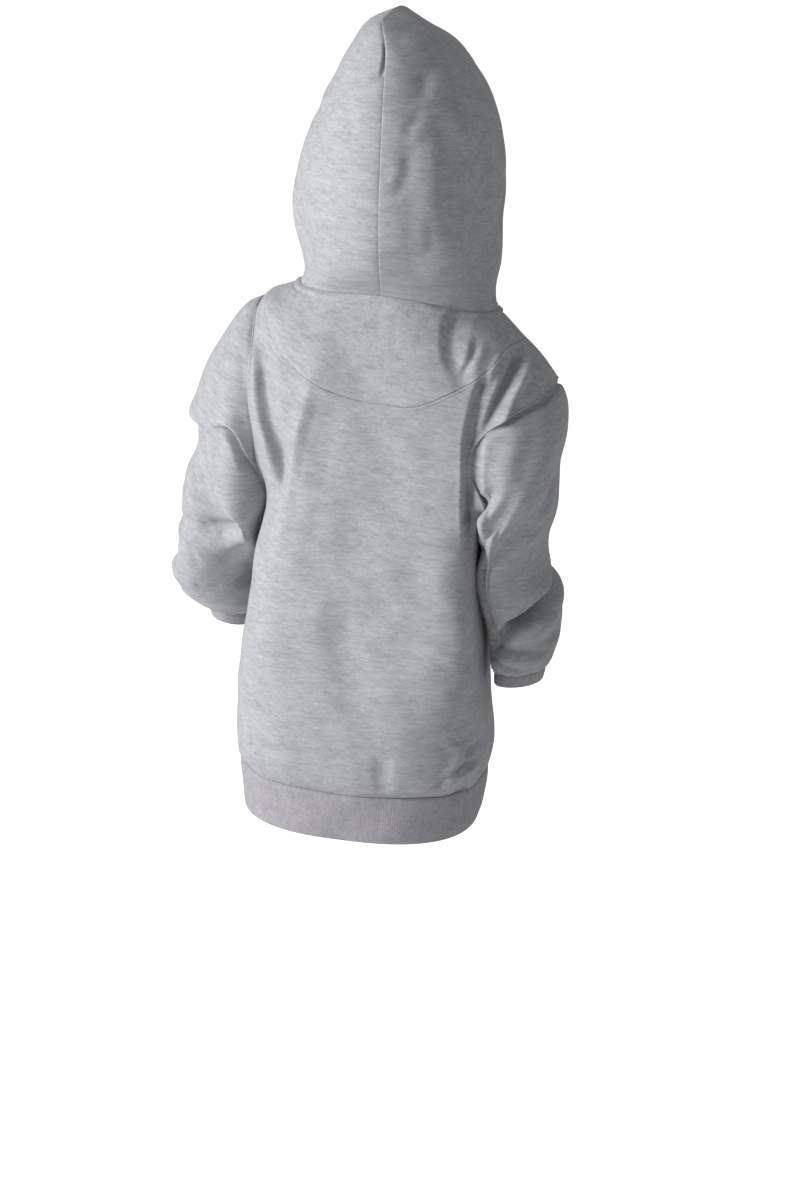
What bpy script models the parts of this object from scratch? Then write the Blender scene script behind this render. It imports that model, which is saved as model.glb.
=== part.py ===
"""Toddler hoodie in heather sweatshirt fleece, worn with the hood up: every cut piece is a hollow wall of cloth.

The wearer faces -Y, the wearer's left is +X, and the origin is between the shoulders at the base of the neck.
"""

from collections import namedtuple

import bpy
import numpy as np

# Cloth and seams, in metres.
CLOTH = 0.0020
RIB_CLOTH = 0.0022
SEAM_GAP = 0.0003
BODY_CLEARANCE = 0.0045
CLEARED_ROWS = 2
CORNER_ROUNDS = 4

# How many cells each stretch of the pieces has.
BACK_COLUMNS = 24
FRONT_COLUMNS = 16
SIDE_SEAM_ROWS = 14
ARMHOLE_ROWS = 10
SHOULDER_ROWS = 2
YOKE_ROWS = 5
SLEEVE_ROWS = 20
CUFF_ROWS = 2
BAND_ROWS = 3
HOOD_ROWS = 13
HOOD_ROW_STEPS = 60
EVENING_ROUNDS = 250
LEVEL_SPAN = 0.33

# Rings of the body from the hem seam up to the neck seam. A ring's height differs at its left, right, back and
# front; left, right, back and front are its reaches from (mid_x, mid_y), and square squares its corners.
BodyRing = namedtuple(
    "BodyRing", "name left_z right_z back_z front_z left right back front mid_x mid_y square"
)
BODY = [
    BodyRing("hem", -0.375, -0.375, -0.374, -0.377, 0.0935, 0.0990, 0.083, 0.083, 0.011, 0.000, 2.35),
    BodyRing("blouse", -0.358, -0.357, -0.354, -0.358, 0.0955, 0.1020, 0.091, 0.090, 0.011, 0.000, 2.45),
    BodyRing("hip", -0.328, -0.326, -0.322, -0.327, 0.0960, 0.0980, 0.093, 0.093, 0.011, 0.000, 2.50),
    BodyRing("belly", -0.286, -0.286, -0.280, -0.285, 0.0960, 0.0930, 0.091, 0.094, 0.010, 0.000, 2.50),
    BodyRing("waist", -0.243, -0.244, -0.238, -0.242, 0.0940, 0.0860, 0.088, 0.091, 0.008, 0.000, 2.40),
    BodyRing("rib_cage", -0.200, -0.203, -0.196, -0.199, 0.0905, 0.0830, 0.085, 0.086, 0.006, 0.000, 2.30),
    BodyRing("underarm", -0.160, -0.166, -0.156, -0.158, 0.0860, 0.0860, 0.082, 0.081, 0.004, 0.000, 2.25),
    BodyRing("chest", -0.125, -0.136, -0.127, -0.132, 0.0970, 0.1000, 0.081, 0.078, 0.002, 0.000, 2.25),
    BodyRing("shoulder_blade", -0.085, -0.108, -0.098, -0.108, 0.1080, 0.1120, 0.080, 0.073, 0.001, 0.000, 2.25),
    BodyRing("upper_back", -0.046, -0.081, -0.070, -0.086, 0.1090, 0.1200, 0.077, 0.067, 0.000, 0.000, 2.15),
    BodyRing("shoulder_tip", -0.014, -0.057, -0.044, -0.067, 0.1010, 0.1210, 0.072, 0.062, 0.000, 0.000, 2.05),
    BodyRing("yoke_end", -0.006, -0.028, -0.019, -0.050, 0.0875, 0.0930, 0.065, 0.058, 0.000, 0.000, 2.00),
    BodyRing("neck", -0.001, -0.009, 0.006, -0.034, 0.0735, 0.0715, 0.054, 0.055, 0.000, 0.000, 2.00),
]
UNDERARM = 6
SHOULDER_TIP = 10
YOKE_END = 11
NECK = 12
YOKE_DROP = 1.95
YOKE_FLATNESS = {"left": 3.1, "right": 1.25}

# How far each armhole reaches round the body, in degrees, and where that is between the underarm (0) and the tip (1).
Armhole = namedtuple("Armhole", "side back front back_lean front_lean")
ARMHOLES = {
    "left": Armhole(1, 29.0, 36.0, 0.00, 0.00),
    "right": Armhole(-1, 43.0, 34.0, -0.24, 0.00),
}

# Rings of a sleeve from the upper arm to the cuff seam, as seen from behind: the edge away from the body and the
# edge next to it, then the middle from front to back and the half depth there.
SleeveRing = namedtuple("SleeveRing", "outer_x outer_z inner_x inner_z mid_y half_y square")
SLEEVES = {
    "left": [
        SleeveRing(0.1550, -0.106, 0.0980, -0.196, -0.002, 0.0450, 2.1),
        SleeveRing(0.1475, -0.128, 0.0990, -0.207, -0.004, 0.0430, 2.1),
        SleeveRing(0.1570, -0.152, 0.1000, -0.218, -0.009, 0.0430, 2.1),
        SleeveRing(0.1610, -0.184, 0.1030, -0.231, -0.018, 0.0420, 2.1),
        SleeveRing(0.1650, -0.218, 0.1050, -0.246, -0.028, 0.0410, 2.1),
        SleeveRing(0.1720, -0.242, 0.1040, -0.260, -0.037, 0.0400, 2.1),
        SleeveRing(0.1690, -0.260, 0.1030, -0.273, -0.045, 0.0370, 2.1),
        SleeveRing(0.1610, -0.273, 0.1060, -0.281, -0.050, 0.0310, 2.0),
        SleeveRing(0.1510, -0.277, 0.1110, -0.284, -0.053, 0.0250, 2.0),
    ],
    "right": [
        SleeveRing(-0.1290, -0.106, -0.0670, -0.192, 0.008, 0.0620, 2.1),
        SleeveRing(-0.1260, -0.130, -0.0640, -0.206, 0.016, 0.0570, 2.1),
        SleeveRing(-0.1275, -0.158, -0.0630, -0.219, 0.024, 0.0510, 2.1),
        SleeveRing(-0.1215, -0.190, -0.0640, -0.232, 0.031, 0.0450, 2.1),
        SleeveRing(-0.1330, -0.220, -0.0680, -0.243, 0.030, 0.0420, 2.1),
        SleeveRing(-0.1360, -0.246, -0.0740, -0.260, 0.022, 0.0400, 2.1),
        SleeveRing(-0.1340, -0.267, -0.0790, -0.274, 0.012, 0.0370, 2.1),
        SleeveRing(-0.1280, -0.280, -0.0860, -0.284, 0.005, 0.0310, 2.0),
        SleeveRing(-0.1245, -0.284, -0.0890, -0.287, 0.002, 0.0240, 2.0),
    ],
}
SLEEVE_HEAD_PULL = 0.085
UNDERARM_PULL = (0.030, -0.030)
SLEEVE_HEAD_SLOPE = {"left": (0.96, -0.28), "right": (-0.62, -0.78)}
CUFF_LENGTH = 0.008
CUFF_TUCK = 0.012
CUFF_LEAN = {"left": (-0.10, -0.28), "right": (0.02, -0.10)}

# Rows of a hood half from just above the neck seam to the ridge. The front edge and the centre back seam are given
# from the side (y, z); half is the half width, left_open and right_open the half width of the opening there,
# and arch lifts the middle of the row.
HoodRow = namedtuple("HoodRow", "front_y front_z back_y back_z half left_open right_open arch mid_x turn")
HOOD = [
    HoodRow(-0.083, 0.006, 0.083, 0.030, 0.0765, 0.070, 0.050, 0.000, 0.002, 0.03),
    HoodRow(-0.098, 0.044, 0.101, 0.066, 0.0795, 0.086, 0.068, 0.000, 0.000, 0.055),
    HoodRow(-0.103, 0.083, 0.106, 0.102, 0.0780, 0.071, 0.064, 0.002, 0.000, 0.045),
    HoodRow(-0.104, 0.114, 0.102, 0.135, 0.0675, 0.059, 0.055, 0.003, 0.001, 0.02),
    HoodRow(-0.102, 0.142, 0.090, 0.162, 0.0500, 0.044, 0.042, 0.004, 0.003, 0.01),
    HoodRow(-0.100, 0.162, 0.073, 0.182, 0.0320, 0.028, 0.027, 0.006, 0.006, 0.00),
    HoodRow(-0.098, 0.176, 0.056, 0.1925, 0.0160, 0.014, 0.014, 0.007, 0.010, 0.00),
    HoodRow(-0.097, 0.184, 0.040, 0.1970, 0.0000, 0.000, 0.000, 0.009, 0.013, 0.00),
]

# Rings of the hem band below its seam: how far down, and how much its reach shrinks.
BandRing = namedtuple("BandRing", "down shrink")
BAND = [
    BandRing(0.000, 0.0000),
    BandRing(0.012, 0.0010),
    BandRing(0.028, 0.0025),
    BandRing(0.039, 0.0045),
]

# The largest folds, each on a bent line (start, middle, end) seen along the axis that its side faces:
# (x, z) for back and front, (y, z) for left and right. A negative depth is a trough.
Fold = namedtuple("Fold", "side start middle end half_width depth")
FOLDS = [
    Fold("back", (-0.078, -0.050), (-0.066, -0.085), (-0.066, -0.150), 0.017, -0.0110),
    Fold("back", (-0.066, -0.150), (-0.068, -0.190), (-0.076, -0.250), 0.016, -0.0060),
    Fold("back", (-0.104, -0.030), (-0.086, -0.062), (-0.078, -0.100), 0.010, 0.0035),
    Fold("back", (0.099, -0.035), (0.090, -0.085), (0.078, -0.150), 0.017, -0.0090),
    Fold("back", (0.047, -0.040), (0.056, -0.100), (0.072, -0.200), 0.020, 0.0040),
    Fold("back", (-0.044, -0.012), (-0.040, -0.030), (-0.056, -0.046), 0.011, -0.0035),
    Fold("back", (0.150, -0.128), (0.125, -0.124), (0.100, -0.150), 0.012, -0.0060),
    Fold("back", (0.150, -0.192), (0.130, -0.196), (0.108, -0.186), 0.013, -0.0040),
    Fold("back", (-0.124, -0.232), (-0.110, -0.246), (-0.088, -0.258), 0.012, -0.0070),
    Fold("back", (-0.116, -0.150), (-0.090, -0.178), (-0.070, -0.196), 0.014, -0.0035),
    Fold("front", (0.094, -0.040), (0.082, -0.085), (0.070, -0.140), 0.018, -0.0060),
    Fold("front", (-0.104, -0.070), (-0.086, -0.105), (-0.070, -0.150), 0.018, -0.0050),
    Fold("front", (-0.055, -0.300), (-0.020, -0.325), (0.040, -0.322), 0.018, -0.0040),
    Fold("front", (0.065, -0.180), (0.060, -0.240), (0.068, -0.300), 0.018, -0.0040),
]
FACING = {"back": (0, 1, 0), "front": (0, -1, 0), "left": (1, 0, 0), "right": (-1, 0, 0)}

# Colours of the cloth and of its ribbing.
CLOTH_COLOUR = (0.42, 0.43, 0.45, 1.0)
RIB_COLOUR = (0.41, 0.40, 0.43, 1.0)

Panel = namedtuple("Panel", "name group grid closed wall rib")

# Panels whose rows and columns turn the other way, so that their grids face in.
TURNED_IN = ("front_body", "hem_band", "hood_right", "sleeve_right", "cuff_right")


def spline(rows, place):
    """Values of the table's rows at each place, on a smooth curve through the rows."""
    rows = np.asarray(rows, float)
    place = np.clip(np.asarray(place, float), 0, len(rows) - 1)
    start = np.minimum(place.astype(int), len(rows) - 2)
    part = (place - start).reshape(place.shape + (1,) * (rows.ndim - 1))
    before = np.where(start > 0, start - 1, 0)
    after = np.minimum(start + 2, len(rows) - 1)
    here, there = rows[start], rows[start + 1]
    rise_here = (there - rows[before]) / np.where(start > 0, 2, 1).reshape(part.shape)
    ends = start + 2 < len(rows)
    rise_there = (rows[after] - here) / np.where(ends, 2, 1).reshape(part.shape)
    return (
        here * (2 * part**3 - 3 * part**2 + 1)
        + there * (3 * part**2 - 2 * part**3)
        + rise_here * (part**3 - 2 * part**2 + part)
        + rise_there * (part**3 - part**2)
    )


def unit(vectors):
    return vectors / np.maximum(np.linalg.norm(vectors, axis=-1, keepdims=True), 1e-12)


def smooth_step(value):
    value = np.clip(value, 0, 1)
    return value * value * (3 - 2 * value)


def share_along(line):
    """How far along a line of points each of them is, from 0 to 1."""
    steps = np.linalg.norm(np.diff(line, axis=0), axis=1)
    return np.concatenate([[0], np.cumsum(steps)]) / steps.sum()


def points_at(line, shares):
    """Points at the given shares of a line's length."""
    return np.stack([np.interp(shares, share_along(line), line[:, axis]) for axis in range(3)], axis=-1)


def body_point(angle, level):
    """The body's outer face at an angle round it from its left, through its back, and at a level of the rings."""
    angle, level = np.broadcast_arrays(np.asarray(angle, float), np.asarray(level, float))
    columns = spline([ring[1:] for ring in BODY], level)
    left_z, right_z, back_z, front_z, left, right, back, front, mid_x, mid_y, square = np.moveaxis(columns, -1, 0)
    cos, sin = np.cos(angle), np.sin(angle)
    across = np.where(cos > 0, left, right)
    along = np.where(sin > 0, back, front)
    reach = ((np.abs(cos) / across) ** square + (np.abs(sin) / along) ** square) ** (-1 / square)
    height = np.where(cos > 0, left_z, right_z) * cos**2 + np.where(sin > 0, back_z, front_z) * sin**2
    return np.stack([mid_x + reach * cos, mid_y + reach * sin, height], axis=-1)


def armhole_edge(arm, share, back):
    """Angle from the side and level of the armhole's edge, at each share of the way from underarm to shoulder tip."""
    widest = np.radians(arm.back if back else arm.front)
    lean = arm.back_lean if back else arm.front_lean
    turn = np.pi * share
    angle = widest * np.sin(turn) * (1 + lean * np.cos(turn) * -1)
    level = UNDERARM + (SHOULDER_TIP - UNDERARM) * (1 - np.cos(turn)) / 2
    return angle, level


def side_edge(arm, back, last_level):
    """Angles and levels of a panel's side edge: side seam, armhole, shoulder seam."""
    seam = np.linspace(0, UNDERARM, SIDE_SEAM_ROWS + 1)
    armhole, level = armhole_edge(arm, np.linspace(0, 1, ARMHOLE_ROWS + 1)[1:], back)
    outer = np.linspace(SHOULDER_TIP, YOKE_END, SHOULDER_ROWS + 1)[1:]
    inner = np.linspace(YOKE_END, last_level, YOKE_ROWS + 1)[1:] if last_level > YOKE_END else []
    levels = np.concatenate([seam, level, outer, inner])
    angles = np.concatenate([0 * seam, armhole, 0 * outer, 0 * np.asarray(inner)])
    return angles, levels


def evened(plane):
    """The grid with its inner points evened out between its edges, by Winslow's rule, so that no rows cross."""
    plane = plane.copy()
    for _ in range(EVENING_ROUNDS):
        across = (plane[1:-1, 2:] - plane[1:-1, :-2]) / 2
        along = (plane[2:, 1:-1] - plane[:-2, 1:-1]) / 2
        twist = plane[2:, 2:] - plane[:-2, 2:] - plane[2:, :-2] + plane[:-2, :-2]
        across_weight = (along**2).sum(axis=-1, keepdims=True)
        along_weight = (across**2).sum(axis=-1, keepdims=True)
        shear = (across * along).sum(axis=-1, keepdims=True)
        total = across_weight * (plane[1:-1, 2:] + plane[1:-1, :-2])
        total += along_weight * (plane[2:, 1:-1] + plane[:-2, 1:-1]) - shear * twist / 2
        plane[1:-1, 1:-1] = total / (across_weight + along_weight) / 2
    return plane


def panel_between(left_edge, right_edge, drop, columns, back):
    """Grid of a body panel whose rows run from its left edge to its right edge, with drop as their sag in levels."""
    across = np.linspace(0, 1, columns + 1)[None, :]
    left_angle, left_level = (np.asarray(value)[:, None] for value in left_edge)
    right_angle, right_level = (np.asarray(value)[:, None] for value in right_edge)
    angle = left_angle + (np.pi - right_angle - left_angle) * across
    flatness = np.where(across < 0.5, YOKE_FLATNESS["left"], YOKE_FLATNESS["right"])
    sag = np.asarray(drop)[:, None] * (1 - np.abs(2 * across - 1) ** flatness)
    level = left_level + (right_level - left_level) * across - sag
    plane = evened(np.stack(np.broadcast_arrays(angle, level * LEVEL_SPAN), axis=-1))
    angle, level = plane[..., 0], plane[..., 1] / LEVEL_SPAN
    return body_point(angle if back else -angle, level)


def back_body():
    left = side_edge(ARMHOLES["left"], True, YOKE_END)
    right = side_edge(ARMHOLES["right"], True, YOKE_END)
    rise = smooth_step((np.arange(len(left[1])) - SIDE_SEAM_ROWS) / (len(left[1]) - 1 - SIDE_SEAM_ROWS))
    middle = UNDERARM + (YOKE_END - YOKE_DROP - UNDERARM) * np.clip(
        (np.arange(len(left[1])) - SIDE_SEAM_ROWS) / (len(left[1]) - 1 - SIDE_SEAM_ROWS), 0, 1
    )
    drop = np.where(rise > 0, (left[1] + right[1]) / 2 - middle, 0)
    return panel_between(left, right, drop, BACK_COLUMNS, True)


def back_yoke():
    rows = np.linspace(0, 1, YOKE_ROWS + 1)
    edge = (0 * rows, YOKE_END + (NECK - YOKE_END) * rows)
    return panel_between(edge, edge, YOKE_DROP * (1 - rows), BACK_COLUMNS, True)


def front_body():
    left = side_edge(ARMHOLES["left"], False, NECK)
    right = side_edge(ARMHOLES["right"], False, NECK)
    rows = np.clip((np.arange(len(left[1])) - SIDE_SEAM_ROWS) / (len(left[1]) - 1 - SIDE_SEAM_ROWS), 0, 1)
    drop = np.where(rows > 0, (left[1] + right[1]) / 2 - UNDERARM - (NECK - UNDERARM) * rows, 0)
    return panel_between(left, right, drop, FRONT_COLUMNS, False)


def armhole_loop(side):
    """The armhole's points from the underarm up its back to the shoulder tip and down its front."""
    arm = ARMHOLES[side]
    share = np.linspace(0, 1, ARMHOLE_ROWS + 1)
    loops = []
    for back in (True, False):
        angle, level = armhole_edge(arm, share, back)
        angle = angle if back else -angle
        loops.append(body_point(angle if side == "left" else np.pi - angle, level))
    return np.concatenate([loops[0], loops[1][-2:0:-1]])


def sleeve_ring(ring, turn):
    """Points of a sleeve's ring, from its inner edge round its back to its outer edge and its front."""
    square = 2 / ring.square
    across = -np.sign(np.cos(turn)) * np.abs(np.cos(turn)) ** square
    along = np.sign(np.sin(turn)) * np.abs(np.sin(turn)) ** square
    middle_x = (ring.outer_x + ring.inner_x) / 2
    middle_z = (ring.outer_z + ring.inner_z) / 2
    return np.stack(
        [
            middle_x + across * (ring.outer_x - ring.inner_x) / 2,
            ring.mid_y + along * ring.half_y,
            middle_z + across * (ring.outer_z - ring.inner_z) / 2,
        ],
        axis=-1,
    )


def clear_of_body(points, clearance):
    """Moves points that come too near the body straight out of it, so that a sleeve lies along the body's side."""
    angle = np.arctan2(points[..., 1], points[..., 0] - 0.005)
    levels = np.linspace(0, UNDERARM + 2, 60)
    shape = angle.shape
    rings = body_point(angle.reshape(-1, 1), levels[None, :])
    flat = points.reshape(-1, 3).copy()
    gaps = np.broadcast_to(clearance, shape).reshape(-1)
    for index, rows in enumerate(rings):
        level = np.interp(flat[index, 2], rows[:, 2], levels)
        on_body = body_point(angle.reshape(-1)[index], level)
        middle = np.array([0.005, 0.0])
        needed = np.linalg.norm(on_body[:2] - middle) + gaps[index]
        away = flat[index, :2] - middle
        distance = np.linalg.norm(away)
        excess = needed - distance
        if excess > -0.004:
            push = (excess + 0.004) ** 2 / 0.016 if excess < 0.004 else excess
            flat[index, :2] = middle + away * (distance + push) / distance
    return flat.reshape(points.shape)


def sleeve(side):
    """Grid of a sleeve from the armhole to the cuff seam."""
    loop = armhole_loop(side)
    turn = np.linspace(0, 2 * np.pi, len(loop), endpoint=False)
    rings = np.stack([sleeve_ring(ring, turn) for ring in SLEEVES[side]])
    slope_x, slope_z = SLEEVE_HEAD_SLOPE[side]
    head = np.array([slope_x, 0.0, slope_z]) * SLEEVE_HEAD_PULL
    underarm = (1 + np.cos(turn))[:, None] / 2
    pit = np.array([np.sign(slope_x) * UNDERARM_PULL[0], 0.0, UNDERARM_PULL[1]])
    leave = head * (1 - underarm) + pit * underarm
    arrive = (rings[1] - rings[0]) * 1.5
    head_rows = SLEEVE_ROWS * 2 // 5
    grid = [loop]
    for part in np.linspace(0, 1, head_rows + 1)[1:]:
        grid.append(
            loop * (2 * part**3 - 3 * part**2 + 1)
            + rings[0] * (3 * part**2 - 2 * part**3)
            + leave * (part**3 - 2 * part**2 + part)
            + arrive * (part**3 - part**2)
        )
    lower_rows = SLEEVE_ROWS - head_rows
    grid.extend(spline(rings, np.linspace(0, len(rings) - 1, lower_rows + 1)[1:]))
    grid = np.stack(grid)
    row = np.arange(1, len(grid))[:, None]
    reach = np.clip(row / head_rows, underarm[:, 0] * np.clip(row / CLEARED_ROWS, 0, 1), 1)
    cleared = clear_of_body(grid[1:], BODY_CLEARANCE * reach)
    even = np.linspace(0, 1, len(loop) + 1)[:-1]
    spread = np.stack([points_at(np.concatenate([ring, ring[:1]]), even) for ring in cleared])
    eased = cleared + (spread - cleared) * smooth_step(row / head_rows)[..., None]
    pushed = np.linalg.norm(cleared - grid[1:], axis=-1, keepdims=True) / BODY_CLEARANCE
    for _ in range(CORNER_ROUNDS):
        pushed = np.maximum(pushed, np.maximum(np.roll(pushed, 1, axis=1), np.roll(pushed, -1, axis=1)) / 2)
        between = (np.roll(eased, 1, axis=1) + np.roll(eased, -1, axis=1)) / 2
        eased = eased + (between - eased) * np.clip(pushed, 0, 1) / 2
    return np.concatenate([grid[:1], eased])


def cuff(side, sleeve_grid):
    """Grid of a cuff: it starts inside the sleeve's bloused end and comes out below it."""
    top = sleeve_grid[-1]
    middle = top.mean(axis=0)
    inward = unit(middle - top) * (SEAM_GAP + 0.0002)
    top = top + inward
    lean_x, lean_y = CUFF_LEAN[side]
    length = CUFF_LENGTH + CUFF_TUCK
    shares = np.linspace(0, 1, CUFF_ROWS + 1)
    step = np.array([lean_x * length, lean_y * length, -length])
    rows = [top + step * share - unit(top - middle) * 0.0015 * share for share in shares]
    return np.stack(rows)


def hem_band(body_ring):
    """Grid of the band below the hem seam."""
    middle = body_ring.mean(axis=0)
    outward = unit((body_ring - middle) * np.array([1, 1, 0]))
    rows = spline([(ring.down, ring.shrink) for ring in BAND], np.linspace(0, len(BAND) - 1, BAND_ROWS + 1))
    return np.stack([body_ring - outward * shrink - np.array([0, 0, down]) for down, shrink in rows])


def hood_row(row, side, shares):
    """Points of a hood row from the opening's edge to the centre back seam, at shares of its length."""
    opening = (row.left_open if side > 0 else row.right_open) / max(row.half, 1e-9)
    start = np.arcsin(min(opening, 1.0)) if row.half > 0 else np.pi / 2 * 0.7
    angle = np.linspace(start, np.pi, HOOD_ROW_STEPS)
    depth = (row.back_y - row.front_y) / (1 + np.cos(start))
    y = row.back_y - depth - depth * np.cos(angle)
    along = (y - row.front_y) / (row.back_y - row.front_y)
    flare = max(opening - 1.0, 0.0) * row.half * (1 - smooth_step(along / 0.35))
    x = row.half * np.sin(angle) + flare
    z = row.front_z + (row.back_z - row.front_z) * along + row.arch * 4 * along * (1 - along)
    middle = row.mid_x + row.turn * (row.back_y - y)
    return points_at(np.stack([middle + side * x, y, z], axis=-1), shares)


def hood(side, neck, shares):
    """Grid of a hood half: rows from the neck seam to the ridge, columns from the opening to the centre back seam."""
    rows = np.stack([neck] + [hood_row(row, side, shares) for row in HOOD])
    return spline(rows, np.linspace(0, len(rows) - 1, HOOD_ROWS + 1))


def bend(fold, share):
    """A point of the fold's bent line."""
    start, middle, end = (np.asarray(point) for point in (fold.start, fold.middle, fold.end))
    share = share[:, None]
    return start * (1 - share) ** 2 + middle * 2 * share * (1 - share) + end * share**2


def fold_rise(points, normals):
    """How far the folds lift each point along its normal."""
    rise = np.zeros(points.shape[:-1])
    for fold in FOLDS:
        seen = points[..., (0, 2)] if fold.side in ("back", "front") else points[..., (1, 2)]
        line = bend(fold, np.linspace(0, 1, 25))
        distance = np.linalg.norm(seen[..., None, :] - line, axis=-1).min(axis=-1)
        facing = smooth_step((normals @ np.asarray(FACING[fold.side], float) - 0.05) / 0.4)
        rise += fold.depth * facing * (1 - smooth_step(distance / fold.half_width / 1.4))
    return rise


def panels():
    """Every cut piece as a grid of points on its outer face, before its edges are trimmed for the seams."""
    back = back_body()
    yoke = back_yoke()
    front = front_body()
    ring = np.concatenate([back[0], front[0][-2:0:-1]])
    neck_left = np.concatenate([front[-1][FRONT_COLUMNS // 2 :: -1], yoke[-1][1 : BACK_COLUMNS // 2 + 1]])
    neck_right = np.concatenate([front[-1][FRONT_COLUMNS // 2 :], yoke[-1][-2 : BACK_COLUMNS // 2 - 1 : -1]])
    shares = (share_along(neck_left) + share_along(neck_right)) / 2
    sleeves = {side: sleeve(side) for side in ARMHOLES}
    return [
        Panel("back_body", "body", back, False, CLOTH, False),
        Panel("back_yoke", "body", yoke, False, CLOTH, False),
        Panel("front_body", "body", front, False, CLOTH, False),
        Panel("hem_band", "band", hem_band(ring), True, RIB_CLOTH, True),
        Panel("hood_left", "hood", hood(1, neck_left, shares), False, CLOTH, False),
        Panel("hood_right", "hood", hood(-1, neck_right, shares), False, CLOTH, False),
        Panel("sleeve_left", "sleeve", sleeves["left"], True, CLOTH, False),
        Panel("sleeve_right", "sleeve", sleeves["right"], True, CLOTH, False),
        Panel("cuff_left", "cuff", cuff("left", sleeves["left"]), True, RIB_CLOTH, True),
        Panel("cuff_right", "cuff", cuff("right", sleeves["right"]), True, RIB_CLOTH, True),
    ]


def cells(panel):
    """Corner indices (row, column) of each cell of a panel's grid."""
    rows, columns = panel.grid.shape[:2]
    for row in range(rows - 1):
        for column in range(columns if panel.closed else columns - 1):
            after = (column + 1) % columns
            yield (row, column), (row, after), (row + 1, after), (row + 1, column)


def face_normals(panel):
    """Area-weighted normals summed at each point of a panel's grid, pointing out of the garment."""
    grid = panel.grid
    total = np.zeros_like(grid)
    for corners in cells(panel):
        a, b, c, d = (grid[corner] for corner in corners)
        normal = np.cross(c - a, d - b)
        for corner in corners:
            total[corner] += normal
    return total * outward_sign(panel)


def outward_sign(panel):
    """1 where the grid's own turning sense faces out, else -1."""
    return -1 if panel.name in TURNED_IN else 1


def shared_normals(all_panels):
    """Normals of each panel's points, the same on both sides of every seam: the mean of the groups that meet."""
    keys = [[tuple(key) for key in np.round(panel.grid * 1e6).astype(np.int64).reshape(-1, 3)] for panel in all_panels]
    sums = {}
    for panel, panel_keys in zip(all_panels, keys):
        for key, normal in zip(panel_keys, face_normals(panel).reshape(-1, 3)):
            groups = sums.setdefault(key, {})
            groups[panel.group] = groups.get(panel.group, 0) + normal
    means = {key: unit(sum(unit(normal) for normal in groups.values())) for key, groups in sums.items()}
    return [
        np.array([means[key] for key in panel_keys]).reshape(panel.grid.shape)
        for panel, panel_keys in zip(all_panels, keys)
    ]


def folded(all_panels):
    """The panels with the largest folds in them."""
    normals = shared_normals(all_panels)
    return [
        panel._replace(grid=panel.grid + normal * fold_rise(panel.grid, normal)[..., None])
        for panel, normal in zip(all_panels, normals)
    ]


def into_panel(edge, inner, closed):
    """Unit steps from the points of an edge into the panel, square to the edge."""
    along = np.roll(edge, -1, axis=0) - np.roll(edge, 1, axis=0) if closed else np.gradient(edge, axis=0)
    along = unit(along)
    inward = inner - edge
    return unit(inward - along * (inward * along).sum(axis=-1, keepdims=True))


def trim(points, closed):
    """The points with every edge drawn in by half a seam gap along the cloth."""
    moved = points.copy()
    inset = SEAM_GAP / 2
    moved[0] += into_panel(points[0], points[1], closed) * inset
    moved[-1] += into_panel(points[-1], points[-2], closed) * inset
    if not closed:
        moved[1:-1, 0] += into_panel(points[:, 0], points[:, 1], False)[1:-1] * inset
        moved[1:-1, -1] += into_panel(points[:, -1], points[:, -2], False)[1:-1] * inset
        for row, next_row in ((0, 1), (-1, -2)):
            for column, next_column in ((0, 1), (-1, -2)):
                diagonal = unit(points[next_row, next_column] - points[row, column])
                moved[row, column] = points[row, column] + diagonal * inset * np.sqrt(2)
    return moved


def wall(panel, normals):
    """Points and triangles of a panel's closed wall."""
    grid = panel.grid
    rows, columns = grid.shape[:2]
    outer = trim(grid, panel.closed)
    inner = outer - normals * panel.wall
    points = np.concatenate([outer.reshape(-1, 3), inner.reshape(-1, 3)])
    inside = rows * columns
    triangles = []

    def place(corner):
        return corner[0] * columns + corner[1]

    for corners in cells(panel):
        a, b, c, d = (place(corner) for corner in corners)
        across = np.linalg.norm(points[a] - points[c]) <= np.linalg.norm(points[b] - points[d])
        halves = ((a, b, c), (a, c, d)) if across else ((a, b, d), (b, c, d))
        for first, second, third in halves:
            triangles.append((first, second, third))
            triangles.append((first + inside, third + inside, second + inside))
    for start, end in rim_edges(rows, columns, panel.closed):
        first, second = place(start), place(end)
        triangles.append((second, first, first + inside))
        triangles.append((second, first + inside, second + inside))
    if outward_sign(panel) < 0:
        triangles = [(first, third, second) for first, second, third in triangles]
    return points, triangles


def rim_edges(rows, columns, closed):
    """Edges round the grid's border, in the turning sense of its cells."""
    wraps = columns if closed else columns - 1
    for column in range(wraps):
        after = (column + 1) % columns
        yield (0, column), (0, after)
        yield (rows - 1, after), (rows - 1, column)
    if not closed:
        for row in range(rows - 1):
            yield (row, columns - 1), (row + 1, columns - 1)
            yield (row + 1, 0), (row, 0)


def cloth_material(name, colour):
    material = bpy.data.materials.new(name)
    material.use_nodes = True
    shader = material.node_tree.nodes["Principled BSDF"]
    shader.inputs["Base Color"].default_value = colour
    shader.inputs["Roughness"].default_value = 0.95
    shader.inputs["Metallic"].default_value = 0.0
    return material


def add_piece(panel, normals, material):
    points, triangles = wall(panel, normals)
    mesh = bpy.data.meshes.new(panel.name)
    mesh.from_pydata(points.tolist(), [], triangles)
    mesh.shade_smooth()
    mesh.set_sharp_from_angle(angle=np.radians(50))
    mesh.materials.append(material)
    bpy.context.scene.collection.objects.link(bpy.data.objects.new(panel.name, mesh))


def main():
    for old in list(bpy.data.objects):
        bpy.data.objects.remove(old)
    fleece = cloth_material("heather_fleece", CLOTH_COLOUR)
    ribbing = cloth_material("rib_knit", RIB_COLOUR)
    pieces = folded(panels())
    for panel, normals in zip(pieces, shared_normals(pieces)):
        add_piece(panel, normals, ribbing if panel.rib else fleece)


main()
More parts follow.
